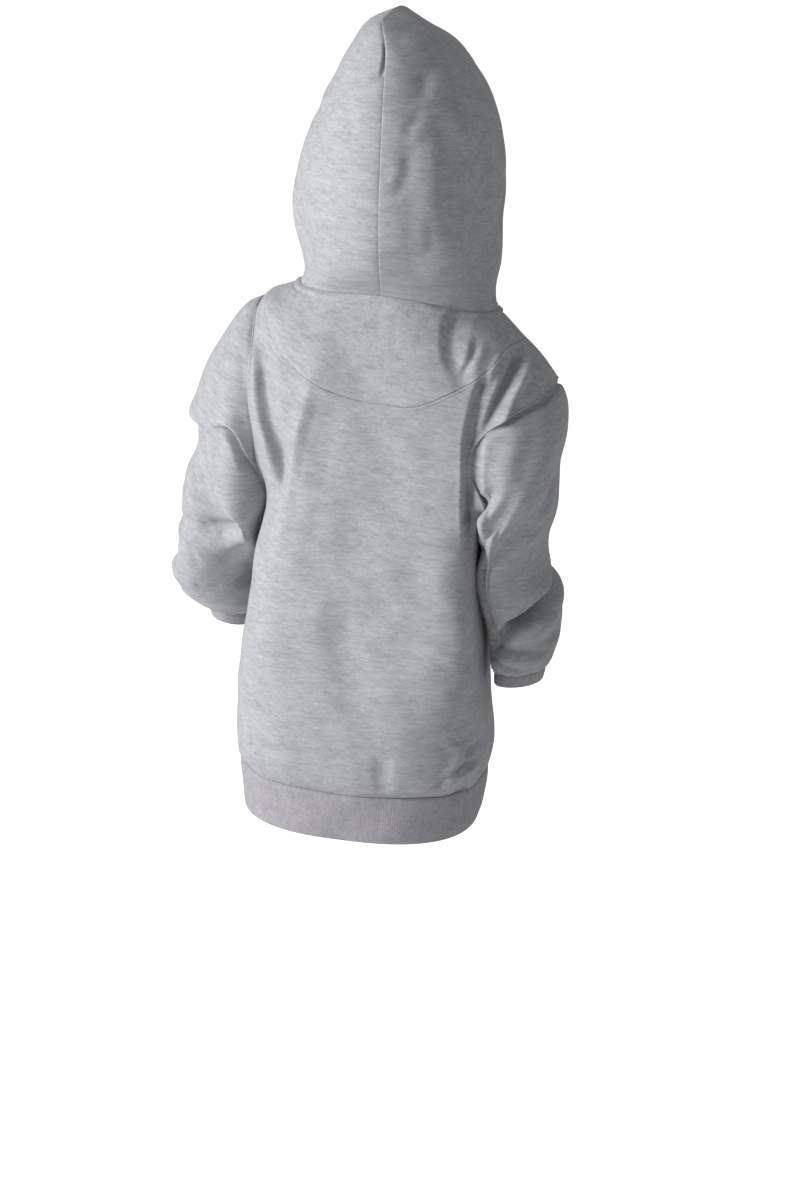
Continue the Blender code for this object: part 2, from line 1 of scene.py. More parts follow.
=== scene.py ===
"""Looks of the worn toddler hoodie: each cut piece is a fine closed shell of cloth on its solid's form.

The wearer faces -Y, the wearer's left is +X, and the origin is between the shoulders at the base of the neck.
Sizes are in metres. The form's tables and functions are those of the part's source, with finer values.
"""

from collections import namedtuple

import bpy
import numpy as np
from mathutils import Matrix, Vector


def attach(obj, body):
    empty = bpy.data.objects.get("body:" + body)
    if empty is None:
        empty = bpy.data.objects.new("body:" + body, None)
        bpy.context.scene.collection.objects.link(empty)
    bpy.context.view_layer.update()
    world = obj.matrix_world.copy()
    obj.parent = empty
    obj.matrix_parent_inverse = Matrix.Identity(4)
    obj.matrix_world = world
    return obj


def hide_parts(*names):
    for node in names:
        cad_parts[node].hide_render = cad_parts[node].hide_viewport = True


# Cloth, and how fine the shells are: EDGE_CELL at a seam, growing to CELL.
CLOTH = 0.002
RIB_CLOTH = 0.0022
SEAM_GAP = 0.0003
CELLS = {"back_body": 0.0018, "back_yoke": 0.0016, "front_body": 0.003, "hood": 0.0018, "sleeve": 0.0015}
RIB_CELL = 0.0021
EDGE_CELL = 0.00036
EDGE_GROWTH = 1.13
# Lines near an edge that are fitted to it exactly, in coarse columns and rows.
FITTED_COLUMNS = 3
FITTED_ROWS = 1.5

# Cells of the form's coarse grids, as in the part's source.
BACK_COLUMNS = 24
FRONT_COLUMNS = 16
SIDE_SEAM_ROWS = 14
ARMHOLE_ROWS = 10
SHOULDER_ROWS = 2
YOKE_ROWS = 5
SLEEVE_ROWS = 20
SLEEVE_HEAD_ROWS = 8
HOOD_ROWS = 13
HOOD_ROW_STEPS = 60
EVENING_ROUNDS = 250
LEVEL_SPAN = 0.33
PLACES_A_METRE = 1e6
SMALLEST = 1e-12
ARMHOLE_TOP = SIDE_SEAM_ROWS + ARMHOLE_ROWS
YOKE_SIDE = ARMHOLE_TOP + SHOULDER_ROWS

# Rings of the body from the hem seam up to the neck seam. A ring's height differs at its left, right, back
# and front; left, right, back and front are its reaches from (middle, 0), and the squares square its corners:
# in front, at the back's left and at the back's right.
BodyRing = namedtuple(
    "BodyRing",
    "name left_z right_z back_z front_z left right back front middle square left_square right_square",
)
BODY = [
    BodyRing("hem", -0.375, -0.375, -0.374, -0.377, 0.0935, 0.099, 0.083, 0.083, 0.011, 2.35, 2.4, 2.4),
    BodyRing("blouse", -0.358, -0.357, -0.354, -0.358, 0.0955, 0.102, 0.09, 0.09, 0.011, 2.45, 2.6, 2.6),
    BodyRing("hip", -0.328, -0.326, -0.322, -0.327, 0.096, 0.098, 0.091, 0.093, 0.011, 2.5, 2.7, 2.9),
    BodyRing("belly", -0.286, -0.286, -0.28, -0.285, 0.0955, 0.093, 0.087, 0.094, 0.01, 2.5, 3.0, 5.0),
    BodyRing("waist", -0.243, -0.244, -0.238, -0.242, 0.0925, 0.087, 0.083, 0.091, 0.008, 2.4, 3.2, 8.5),
    BodyRing("rib_cage", -0.2, -0.203, -0.196, -0.199, 0.089, 0.081, 0.08, 0.086, 0.006, 2.3, 3.2, 9.0),
    BodyRing("underarm", -0.16, -0.166, -0.156, -0.158, 0.085, 0.08, 0.078, 0.081, 0.004, 2.25, 3.1, 7.5),
    BodyRing("chest", -0.125, -0.136, -0.127, -0.132, 0.096, 0.097, 0.077, 0.078, 0.002, 2.25, 3.0, 5.0),
    BodyRing("blade", -0.085, -0.108, -0.098, -0.108, 0.107, 0.111, 0.077, 0.073, 0.001, 2.25, 2.9, 3.9),
    BodyRing("upper_back", -0.046, -0.081, -0.07, -0.086, 0.109, 0.12, 0.075, 0.067, 0.0, 2.15, 2.7, 3.5),
    BodyRing("shoulder_tip", -0.014, -0.057, -0.044, -0.067, 0.101, 0.121, 0.071, 0.062, 0.0, 2.05, 2.4, 3.0),
    BodyRing("yoke_end", -0.006, -0.028, -0.019, -0.05, 0.0875, 0.093, 0.065, 0.058, 0.0, 2.0, 2.15, 2.5),
    BodyRing("neck", -0.001, -0.009, 0.006, -0.034, 0.0735, 0.0715, 0.054, 0.055, 0.0, 2.0, 2.0, 2.1),
]
UNDERARM = 6
SHOULDER_TIP = 10
YOKE_END = 11
NECK = 12
# The yoke seam: how far it sags, in levels, how flat it is at the left, and where and how fast it rises at
# the right, as shares of the way from the middle to the side.
YOKE_DROP = 1.95
YOKE_LEFT_FLATNESS = 3.1
YOKE_RIGHT_FLAT = 0.15
YOKE_RIGHT_RISE = 0.68

# How far each armhole reaches round the body, in degrees, and how far up (or down) its back leans.
Armhole = namedtuple("Armhole", "back front back_lean")
ARMHOLES = {"left": Armhole(25.0, 36.0, 0.0), "right": Armhole(45.5, 34.0, -0.1)}

# Rings of a sleeve from the upper arm to the cuff seam, as seen from behind: the edge away from the body and
# the edge next to it, the middle from front to back, the half depth, how square the ring is, and how far
# forward its outer edge turns.
SleeveRing = namedtuple("SleeveRing", "outer_x outer_z inner_x inner_z mid_y half_y square skew")
SLEEVES = {
    "left": [
        SleeveRing(0.155, -0.106, 0.098, -0.196, -0.002, 0.045, 2.8, 0.014),
        SleeveRing(0.1475, -0.128, 0.099, -0.207, -0.004, 0.043, 2.8, 0.006),
        SleeveRing(0.157, -0.152, 0.1, -0.218, -0.009, 0.043, 2.4, -0.006),
        SleeveRing(0.161, -0.184, 0.103, -0.231, -0.018, 0.042, 2.1, -0.015),
        SleeveRing(0.165, -0.218, 0.105, -0.246, -0.028, 0.041, 2.0, -0.019),
        SleeveRing(0.172, -0.242, 0.104, -0.26, -0.037, 0.04, 2.0, -0.016),
        SleeveRing(0.169, -0.26, 0.103, -0.273, -0.045, 0.037, 2.1, -0.008),
        SleeveRing(0.161, -0.273, 0.106, -0.281, -0.05, 0.031, 2.0, -0.006),
        SleeveRing(0.151, -0.277, 0.111, -0.284, -0.053, 0.025, 2.0, -0.003),
    ],
    "right": [
        SleeveRing(-0.129, -0.106, -0.067, -0.192, 0.008, 0.06, 2.6, 0.0),
        SleeveRing(-0.126, -0.13, -0.064, -0.206, 0.01, 0.056, 2.6, 0.004),
        SleeveRing(-0.1275, -0.158, -0.063, -0.219, 0.01, 0.046, 2.4, 0.012),
        SleeveRing(-0.1215, -0.19, -0.064, -0.232, 0.008, 0.04, 2.2, 0.018),
        SleeveRing(-0.133, -0.22, -0.068, -0.243, 0.006, 0.039, 2.1, 0.018),
        SleeveRing(-0.136, -0.246, -0.074, -0.26, 0.004, 0.038, 2.1, 0.016),
        SleeveRing(-0.134, -0.267, -0.079, -0.274, 0.002, 0.035, 2.1, 0.012),
        SleeveRing(-0.1305, -0.28, -0.079, -0.284, 0.0, 0.03, 2.0, 0.006),
        SleeveRing(-0.128, -0.284, -0.08, -0.287, -0.002, 0.025, 2.0, 0.003),
    ],
}
# A sleeve's points are pushed away from BODY_MIDDLE until they clear the body by BODY_CLEARANCE.
BODY_CLEARANCE = 0.0045
BODY_MIDDLE = (0.005, 0.0)
CLEARING_LEVELS = 60
CLEARING_EASE = 0.004
CLEARED_ROWS = 2
CORNER_ROUNDS = 4
SLEEVE_HEAD_PULL = 0.085
SLEEVE_HEAD_ARRIVAL = 1.5
UNDERARM_PULL = (0.03, -0.03)
SLEEVE_GIRTH = 0.27
SLEEVE_HEAD_SLOPE = {"left": (0.96, -0.28), "right": (-0.62, -0.78)}
CUFF_LENGTH = 0.011
CUFF_INSET = SEAM_GAP + 0.0002
CUFF_TAPER = 0.0015
CUFF_LEAN = {"left": (-0.1, -0.28), "right": (0.02, -0.1)}

# Rows of the hood from the neck seam up: the front and back edge, the half width, the half widths of the
# opening, how far the row arches, where its middle is, and how far that turns to the left toward the front.
HoodRow = namedtuple("HoodRow", "front_y front_z back_y back_z half left_open right_open arch mid_x turn")
HOOD = [
    HoodRow(-0.083, 0.006, 0.083, 0.03, 0.0735, 0.068, 0.05, 0.0, 0.001, 0.03),
    HoodRow(-0.098, 0.044, 0.101, 0.066, 0.0795, 0.0765, 0.068, 0.0, 0.0, 0.09),
    HoodRow(-0.103, 0.083, 0.106, 0.102, 0.075, 0.069, 0.064, 0.002, 0.0, 0.06),
    HoodRow(-0.104, 0.114, 0.102, 0.135, 0.0656, 0.059, 0.055, 0.003, 0.001, 0.04),
    HoodRow(-0.102, 0.142, 0.09, 0.162, 0.0517, 0.045, 0.042, 0.004, 0.003, 0.03),
    HoodRow(-0.1, 0.162, 0.073, 0.182, 0.0362, 0.03, 0.028, 0.006, 0.006, 0.035),
    HoodRow(-0.098, 0.176, 0.056, 0.1925, 0.018, 0.015, 0.014, 0.007, 0.012, 0.05),
    HoodRow(-0.097, 0.184, 0.04, 0.197, 0.0, 0.0, 0.0, 0.009, 0.016, 0.0),
]

CROWN_START = np.pi / 2 * 0.7
FLARE_SHARE = 0.35
NECK_SWING = 0.08

# Rings of the hem band: how far each is below the hem seam, and inside it.
BandRing = namedtuple("BandRing", "down shrink")
BAND = [
    BandRing(0.0, 0.0),
    BandRing(0.012, 0.001),
    BandRing(0.028, 0.0025),
    BandRing(0.039, 0.0045),
]

# The largest folds: each a bent line on the side that it is seen from, in x and z, or in y and z from the
# left and the right. A negative depth is a trough. A fold fades in as the cloth's normal turns to that side,
# between the two values of FOLD_FACING, and a crease between those of CREASE_FACING.
Fold = namedtuple("Fold", "side start middle end half_width depth")
FOLDS = [
    Fold("back", (-0.077, -0.05), (-0.07, -0.082), (-0.0745, -0.15), 0.0062, -0.007),
    Fold("back", (-0.0745, -0.15), (-0.079, -0.195), (-0.087, -0.25), 0.0066, -0.0045),
    Fold("back", (0.01, -0.05), (-0.005, -0.14), (0.01, -0.26), 0.032, -0.002),
    Fold("back", (0.046, -0.045), (0.054, -0.13), (0.07, -0.27), 0.015, 0.002),
    Fold("back", (0.11, -0.024), (0.117, -0.075), (0.114, -0.13), 0.011, 0.0025),
    Fold("back", (-0.051, -0.004), (-0.048, -0.026), (-0.06, -0.046), 0.008, -0.003),
    Fold("back", (0.158, -0.124), (0.142, -0.122), (0.122, -0.126), 0.012, -0.005),
    Fold("back", (0.108, -0.126), (0.1, -0.15), (0.1, -0.172), 0.014, 0.007),
    Fold("back", (0.15, -0.192), (0.13, -0.196), (0.108, -0.186), 0.013, -0.004),
    Fold("back", (-0.124, -0.232), (-0.11, -0.246), (-0.088, -0.258), 0.012, -0.007),
    Fold("back", (-0.116, -0.15), (-0.09, -0.178), (-0.07, -0.196), 0.014, -0.0015),
    Fold("back", (-0.04, 0.15), (-0.046, 0.1), (-0.044, 0.04), 0.018, 0.005),
    Fold("back", (-0.02, 0.192), (-0.04, 0.17), (-0.048, 0.13), 0.015, 0.0055),
    Fold("back", (-0.059, 0.15), (-0.064, 0.1), (-0.062, 0.035), 0.009, -0.0035),
    Fold("front", (0.094, -0.04), (0.082, -0.085), (0.07, -0.14), 0.018, -0.006),
    Fold("front", (-0.104, -0.07), (-0.086, -0.105), (-0.07, -0.15), 0.018, -0.005),
    Fold("front", (-0.055, -0.3), (-0.02, -0.325), (0.04, -0.322), 0.018, -0.004),
    Fold("front", (0.065, -0.18), (0.06, -0.24), (0.068, -0.3), 0.018, -0.004),
]
FOLD_STEPS = 25
FOLD_FADE = 1.4
FOLD_FACING = (0.05, 0.45)
CREASE_FACING = (0.10, 0.45)
FACING = {"back": (0, 1, 0), "front": (0, -1, 0), "left": (1, 0, 0), "right": (-1, 0, 0)}
SEEN_AXES = {"back": (0, 2), "front": (0, 2), "left": (1, 2), "right": (1, 2)}

# Creases finer than those folds, on the pieces whose names hold the group's first word, as seen from the
# side that its second names. A row holds half_width, depth, lip and sharp, and then the line's points. A
# negative depth is a trough; sharp runs from 0 (soft) to 1 (crisp); lip raises the cloth to the left of the
# line's way, or to its right if it is negative.
Crease = namedtuple("Crease", "on side line half_width depth lip sharp")
CREASE_GROUPS = [
    # The hood's right half, then its left half and its crown.
    ("hood_right", "back", [
        (0.006, -0.0012, 0.0006, 0.7, (-0.012, 0.13), (-0.017, 0.134), (-0.024, 0.146)),
        (0.007, -0.0014, 0.0006, 0.6, (-0.018, 0.121), (-0.018, 0.102), (-0.01, 0.084)),
        (0.006, -0.001, -0.0006, 0.5, (-0.022, 0.171), (-0.022, 0.162), (-0.023, 0.15)),
        (0.012, -0.0028, 0.001, 0.0, (-0.033, 0.16), (-0.046, 0.11), (-0.049, 0.04)),
        (0.007, -0.0008, 0.0005, 0.4, (-0.034, 0.078), (-0.036, 0.06), (-0.034, 0.04)),
    ]),
    ("hood_right", "right", [
        (0.01, 0.0016, 0.0, 0.0, (0.04, 0.15), (0.02, 0.11), (0.024, 0.06)),
        (0.012, -0.0024, 0.0008, 0.3, (-0.01, 0.03), (-0.03, 0.07), (-0.06, 0.1)),
        (0.012, -0.0018, 0.0006, 0.2, (0.0, 0.16), (-0.03, 0.15), (-0.07, 0.15)),
    ]),
    ("hood_left", "left", [
        (0.011, 0.0075, 0.0, 0.0, (-0.07, -0.034), (-0.087, 0.004), (-0.097, 0.038), (-0.103, 0.082)),
        (0.01, -0.0034, 0.0, 0.3, (-0.046, 0.025), (-0.054, 0.06), (-0.05, 0.1)),
        (0.011, -0.002, 0.0008, 0.3, (0.045, 0.03), (0.02, 0.055), (0.0, 0.085)),
        (0.012, -0.0018, 0.0006, 0.2, (0.0, 0.16), (-0.03, 0.148), (-0.07, 0.152)),
        (0.012, -0.0012, 0.0, 0.0, (0.03, 0.12), (0.0, 0.126), (-0.04, 0.115)),
    ]),
    ("hood_left", "back", [
        (0.0026, -0.003, 0.0, 0.6, (0.01, 0.19), (0.0065, 0.18), (0.006, 0.163)),
    ]),
    # The yoke and the right shoulder.
    ("back", "back", [
        (0.0072, -0.0026, 0.0, 0.2, (-0.047, 0.002), (-0.046, -0.018), (-0.05, -0.032), (-0.059, -0.044)),
        (0.0045, -0.003, -0.0008, 0.6, (-0.065, -0.018), (-0.065, -0.029), (-0.062, -0.038),
         (-0.058, -0.047)),
        (0.006, 0.0034, 0.0, 0.4, (-0.105, -0.026), (-0.101, -0.045), (-0.0955, -0.06), (-0.089, -0.08),
         (-0.0825, -0.099)),
        (0.007, -0.01, 0.0, 0.5, (-0.1, -0.01), (-0.0965, -0.03), (-0.092, -0.046), (-0.0865, -0.061),
         (-0.0815, -0.077), (-0.0755, -0.096)),
        (0.0042, 0.0026, 0.0, 0.3, (-0.084, -0.026), (-0.0805, -0.037), (-0.078, -0.047),
         (-0.0755, -0.057), (-0.0715, -0.074)),
    ]),
    # The back's left ridge and the hollow between it and the left armhole.
    ("back", "back", [
        (0.009, 0.003, 0.0, 0.6, (0.046, -0.038), (0.049, -0.058), (0.0535, -0.08), (0.0575, -0.102),
         (0.062, -0.134), (0.0655, -0.166), (0.069, -0.205)),
        (0.011, -0.0025, 0.0, 0.3, (0.078, -0.1), (0.074, -0.125), (0.071, -0.15), (0.07, -0.18)),
    ]),
    # Above the hem band, mostly at the right.
    ("back", "back", [
        (0.0036, 0.0018, 0.0, 0.3, (-0.016, -0.364), (-0.038, -0.3655), (-0.064, -0.363)),
        (0.0065, 0.0034, 0.0, 0.3, (-0.062, -0.318), (-0.074, -0.338), (-0.062, -0.366)),
        (0.005, -0.004, 0.0018, 0.6, (-0.058, -0.366), (-0.07, -0.352), (-0.09, -0.346)),
        (0.0045, -0.0028, 0.001, 0.5, (-0.066, -0.373), (-0.08, -0.37), (-0.092, -0.352)),
        (0.005, -0.0028, 0.0008, 0.5, (-0.075, -0.345), (-0.084, -0.335), (-0.095, -0.334)),
        (0.01, -0.0022, 0.0, 0.0, (-0.02, -0.33), (-0.0215, -0.35), (-0.023, -0.372)),
        (0.006, -0.0016, 0.0008, 0.4, (0.092, -0.33), (0.08, -0.344), (0.062, -0.348)),
        (0.009, -0.001, 0.0005, 0.1, (0.06, -0.33), (0.02, -0.338), (-0.01, -0.334)),
        (0.018, -0.0012, 0.0, 0.0, (0.03, -0.2), (0.012, -0.26), (0.0, -0.32)),
        (0.02, -0.001, 0.0, 0.0, (-0.03, -0.16), (-0.036, -0.22), (-0.03, -0.3)),
    ]),
    # The right sleeve, from the armhole to the cuff.
    ("sleeve_right", "back", [
        (0.0085, -0.006, 0.0, 0.5, (-0.094, -0.121), (-0.084, -0.134), (-0.075, -0.15), (-0.068, -0.168)),
        (0.0085, 0.0035, 0.0, 0.5, (-0.101, -0.116), (-0.092, -0.133), (-0.082, -0.152), (-0.073, -0.172),
         (-0.066, -0.186)),
        (0.014, 0.0032, 0.0, 0.2, (-0.108, -0.07), (-0.1, -0.09), (-0.096, -0.112), (-0.098, -0.132)),
        (0.012, -0.0026, 0.0, 0.0, (-0.14, -0.142), (-0.106, -0.164), (-0.068, -0.203)),
        (0.004, -0.0014, 0.0006, 0.7, (-0.118, -0.186), (-0.1165, -0.195), (-0.115, -0.206)),
        (0.008, -0.004, 0.0, 0.5, (-0.15, -0.204), (-0.127, -0.224), (-0.112, -0.236), (-0.088, -0.254)),
        (0.008, 0.0024, 0.0, 0.3, (-0.135, -0.232), (-0.124, -0.242), (-0.1, -0.256)),
        (0.008, 0.0016, 0.0, 0.0, (-0.126, -0.236), (-0.114, -0.246), (-0.096, -0.25)),
        (0.0056, -0.0048, 0.0016, 0.7, (-0.074, -0.234), (-0.096, -0.258), (-0.14, -0.266)),
        (0.0044, -0.0034, 0.0012, 0.7, (-0.078, -0.258), (-0.096, -0.272), (-0.12, -0.279)),
    ]),
    ("sleeve_right", "left", [
        (0.024, 0.0045, 0.0, 0.0, (0.07, -0.12), (0.06, -0.165), (0.052, -0.19), (0.04, -0.225)),
        (0.02, 0.004, 0.0, 0.0, (0.045, -0.185), (0.03, -0.215), (0.005, -0.25)),
    ]),
    ("sleeve_right", "right", [
        (0.01, -0.002, 0.0008, 0.3, (0.06, -0.15), (0.035, -0.14), (0.0, -0.12)),
        (0.009, -0.007, 0.002, 0.5, (0.07, -0.256), (0.04, -0.241), (0.012, -0.228), (-0.02, -0.208),
         (-0.045, -0.2)),
        (0.008, -0.0024, 0.001, 0.5, (0.06, -0.24), (0.03, -0.236), (-0.005, -0.226)),
        (0.007, -0.0022, 0.0008, 0.5, (0.05, -0.262), (0.02, -0.258), (-0.02, -0.25)),
    ]),
    ("sleeve_right", "front", [
        (0.01, -0.0024, 0.0009, 0.3, (-0.085, -0.15), (-0.1, -0.165), (-0.118, -0.16)),
        (0.009, -0.0026, 0.001, 0.5, (-0.076, -0.2), (-0.095, -0.212), (-0.122, -0.206)),
        (0.008, -0.0022, 0.0008, 0.4, (-0.084, -0.245), (-0.105, -0.254), (-0.126, -0.246)),
    ]),
    # The left sleeve, with its inner side against the body.
    ("sleeve_left", "right", [
        (0.02, 0.005, 0.0, 0.0, (0.038, -0.15), (0.015, -0.175), (-0.025, -0.19)),
    ]),
    ("sleeve_left", "back", [
        (0.0105, -0.006, 0.0008, 0.4, (0.143, -0.188), (0.12, -0.19), (0.098, -0.182)),
        (0.004, -0.0018, 0.0006, 0.6, (0.15, -0.163), (0.146, -0.164), (0.138, -0.163)),
        (0.0055, 0.0014, 0.0, 0.4, (0.136, -0.182), (0.13, -0.192), (0.125, -0.202)),
        (0.009, -0.0042, 0.0, 0.3, (0.13, -0.224), (0.113, -0.214), (0.096, -0.196)),
        (0.008, -0.0036, 0.0012, 0.4, (0.124, -0.252), (0.112, -0.244), (0.1, -0.228)),
        (0.006, -0.0018, 0.0008, 0.5, (0.152, -0.242), (0.14, -0.25), (0.122, -0.247)),
        (0.006, -0.0012, 0.0005, 0.4, (0.15, -0.208), (0.146, -0.22), (0.14, -0.232)),
    ]),
    ("sleeve_left", "left", [
        (0.008, -0.0034, -0.0012, 0.7, (0.04, -0.112), (0.01, -0.116), (-0.025, -0.106)),
        (0.006, -0.0024, 0.0008, 0.6, (0.032, -0.165), (0.012, -0.162), (-0.01, -0.15)),
        (0.0075, -0.0028, 0.001, 0.6, (0.03, -0.186), (0.01, -0.194), (-0.03, -0.184)),
        (0.008, -0.0024, 0.001, 0.4, (0.012, -0.222), (-0.02, -0.226), (-0.06, -0.214)),
        (0.007, -0.002, 0.0008, 0.5, (0.0, -0.25), (-0.03, -0.256), (-0.066, -0.246)),
    ]),
    ("sleeve_left", "front", [
        (0.009, -0.0024, 0.0009, 0.4, (0.1, -0.15), (0.12, -0.16), (0.144, -0.15)),
        (0.009, -0.0026, 0.001, 0.5, (0.104, -0.19), (0.126, -0.204), (0.152, -0.196)),
        (0.008, -0.0022, 0.0008, 0.5, (0.108, -0.236), (0.13, -0.246), (0.158, -0.24)),
    ]),
    # The front, which no view of the wearer's back shows.
    ("front", "front", [
        (0.011, -0.0022, 0.0008, 0.2, (0.08, -0.04), (0.066, -0.08), (0.04, -0.11)),
        (0.011, -0.0022, 0.0008, 0.2, (-0.084, -0.06), (-0.07, -0.095), (-0.04, -0.118)),
        (0.014, -0.0014, 0.0006, 0.0, (0.046, -0.06), (0.02, -0.085), (-0.02, -0.088)),
        (0.009, -0.0018, 0.0008, 0.3, (-0.06, -0.33), (-0.02, -0.348), (0.03, -0.342)),
        (0.008, -0.0018, 0.0008, 0.3, (0.086, -0.32), (0.06, -0.35), (0.064, -0.374)),
        (0.006, -0.0016, 0.0007, 0.4, (-0.02, -0.345), (-0.018, -0.36), (-0.02, -0.376)),
        (0.006, -0.0012, 0.0006, 0.4, (0.012, -0.35), (0.014, -0.362), (0.012, -0.377)),
        (0.014, -0.0018, 0.0006, 0.0, (-0.07, -0.23), (-0.06, -0.28), (-0.066, -0.33)),
        (0.02, -0.0012, 0.0, 0.0, (0.01, -0.15), (0.018, -0.21), (0.008, -0.27)),
    ]),
]
CREASES = [Crease(on, side, row[4:], *row[:4]) for on, side, rows in CREASE_GROUPS for row in rows]
CREASE_STEPS = 33
CREASE_FADE = 0.34
CREASE_MARGIN = 2.6
SOFT_POWER = 2.0
CRISP_POWER = 1.2
LIP_PLACE = 1.25
LIP_REACH = 1.1

# Places where one part of the cloth hangs over the next, on the pieces whose names hold `on`, which is all of
# them where it is empty. The cloth to the left of the line's way stands out by `over`, the cloth to its right
# lies back by `under`, each fading within its reach, and `edge` is the step's width.
Overlap = namedtuple("Overlap", "on side over under over_reach under_reach edge line")
OVERLAPS = [
    # The back's right edge over the arm.
    Overlap(
        "back", "back", 0.0006, 0.0085, 0.006, 0.009, 0.0032,
        ((-0.0725, -0.036), (-0.069, -0.055), (-0.0665, -0.072), (-0.0648, -0.091), (-0.0658, -0.12),
         (-0.068, -0.153), (-0.0712, -0.18), (-0.077, -0.215), (-0.0845, -0.262)),
    ),
    # The wedge-shaped hollow beside the left armhole, below the shoulder.
    Overlap(
        "", "back", 0.007, 0.0115, 0.014, 0.02, 0.0155,
        ((0.104, -0.016), (0.0995, -0.037), (0.0942, -0.056), (0.0885, -0.083), (0.08, -0.11),
         (0.0715, -0.14), (0.065, -0.166)),
    ),
    # The shade under the right sleeve's slanting ridge, from the elbow to the body.
    Overlap(
        "sleeve_right", "back", 0.0025, 0.005, 0.012, 0.02, 0.012,
        ((-0.116, -0.122), (-0.107, -0.145), (-0.096, -0.167), (-0.084, -0.19), (-0.07, -0.212)),
    ),
    # The right sleeve's deep tuck above the cuff.
    Overlap(
        "sleeve_right", "back", 0.003, 0.009, 0.01, 0.013, 0.0035,
        ((-0.148, -0.196), (-0.129, -0.216), (-0.109, -0.233), (-0.08, -0.255)),
    ),
    # The left upper arm over the elbow.
    Overlap(
        "sleeve_left", "back", 0.004, 0.007, 0.02, 0.009, 0.003,
        ((0.089, -0.162), (0.0931, -0.144), (0.0998, -0.128), (0.1067, -0.115), (0.1136, -0.107),
         (0.122, -0.106), (0.135, -0.112)),
    ),
]
OVERLAP_MARGIN = 1.2

# What a seam or hem does to the cloth beside it: a band of a width is raised by height, or sunk if negative,
# with a soft edge, a groove lies along the seam, a stitch line is pressed in at stitch_at, and the edge is
# rounded by round. The yoke's seam nearly vanishes to the left of YOKE_VANISHES_FROM.
Seam = namedtuple("Seam", "height width soft groove groove_width stitch_at stitch_depth round")
SEAMS = {
    "plain": Seam(0.0002, 0.004, 0.004, 0.0006, 0.0009, 0.0, 0.0, 0.0005),
    "yoke_upper": Seam(0.0, 0.003, 0.002, 0.0005, 0.0008, 0.0, 0.0, 0.0004),
    "yoke_lower": Seam(0.0004, 0.004, 0.002, 0.0004, 0.0007, 0.0048, 0.00025, 0.0004),
    "neck_below": Seam(0.0018, 0.0042, 0.0016, 0.0002, 0.001, 0.0064, 0.0004, 0.0003),
    "neck_above": Seam(0.0008, 0.003, 0.0018, 0.0, 0.001, 0.0, 0.0, 0.0004),
    "armhole_body": Seam(0.0013, 0.006, 0.0018, 0.0, 0.001, 0.005, 0.0005, 0.0009),
    "armhole_sleeve": Seam(-0.0006, 0.0012, 0.003, 0.0004, 0.001, 0.0, 0.0, 0.0003),
    "armhole_deep": Seam(-0.0028, 0.0024, 0.0042, 0.0005, 0.0014, 0.0, 0.0, 0.0003),
    "centre_left": Seam(-0.0003, 0.0008, 0.004, 0.0005, 0.0009, 0.0, 0.0, 0.0005),
    "centre_right": Seam(0.0001, 0.0006, 0.006, 0.0, 0.0006, 0.0, 0.0, 0.0001),
    "opening": Seam(0.0005, 0.019, 0.0014, 0.0, 0.001, 0.0182, 0.0004, 0.0009),
    "bloused": Seam(-0.0012, 0.001, 0.007, 0.0006, 0.0012, 0.0, 0.0, 0.0008),
    "rib_seam": Seam(-0.0004, 0.001, 0.003, 0.0004, 0.001, 0.0, 0.0, 0.0005),
    "rib_fold": Seam(0.0, 0.001, 0.001, 0.0, 0.001, 0.0, 0.0, 0.001),
}
STITCH_WIDTH = 0.0008
SEAM_CHANGE_ROWS = 0.6
YOKE_VANISHING = 0.85
YOKE_VANISHES_FROM = 0.035
YOKE_VANISHES_WITHIN = 0.025

# The seam at each edge of a piece: its first and last row, and its sides. A body panel's sides are its side
# seam, its armhole and its shoulder seam.
EdgeSeams = namedtuple("EdgeSeams", "first last left right")
EDGES = {
    "back_body": EdgeSeams("bloused", "yoke_lower", "sides", "sides"),
    "back_yoke": EdgeSeams("yoke_upper", "neck_below", "plain", "plain"),
    "front_body": EdgeSeams("bloused", "neck_below", "sides", "sides"),
    "hood_left": EdgeSeams("neck_above", "centre_left", "opening", "centre_left"),
    "hood_right": EdgeSeams("neck_above", "centre_right", "opening", "centre_right"),
    "sleeve_left": EdgeSeams("armhole_sleeve", "bloused", None, None),
    "sleeve_right": EdgeSeams("armhole_deep", "bloused", None, None),
    "hem_band": EdgeSeams("rib_seam", "rib_fold", None, None),
    "cuff_left": EdgeSeams("rib_seam", "rib_fold", None, None),
    "cuff_right": EdgeSeams("rib_seam", "rib_fold", None, None),
}
# How far an edge's inner face is drawn back from the seam, or reaches over it if negative.
SLANTS = {
    "yoke_upper": 0.0011, "neck_above": 0.0011, "armhole_sleeve": 0.0011, "armhole_deep": 0.0011,
    "yoke_lower": -0.0011, "neck_below": -0.0011, "armhole_body": -0.0011,
    "centre_left": 0.0011, "centre_right": -0.0011, "bloused": 0.0013, "rib_seam": -0.0013,
}
SLANT_REACH = 0.005
EDGE_INSET = SEAM_GAP / 4
INNER_ROUNDING = 0.6
# Pieces whose grids face into the garment, so that their normals are turned round.
TURNED_IN = ("front_body", "hem_band", "hood_right", "sleeve_right", "cuff_right")

# The fields of a piece's cut: the rectangle that it is cut from, and the cut's area; no piece is given one
# here.
Cut = namedtuple("Cut", "width length area")

RIB_PITCH = 0.0019
RIB_HEIGHT = 0.0001
CELLS_A_RIB = 4
RIB_RISE = 0.002
RIB_WAVE_RISE = 0.01
GRAIN_RADIUS = 0.095

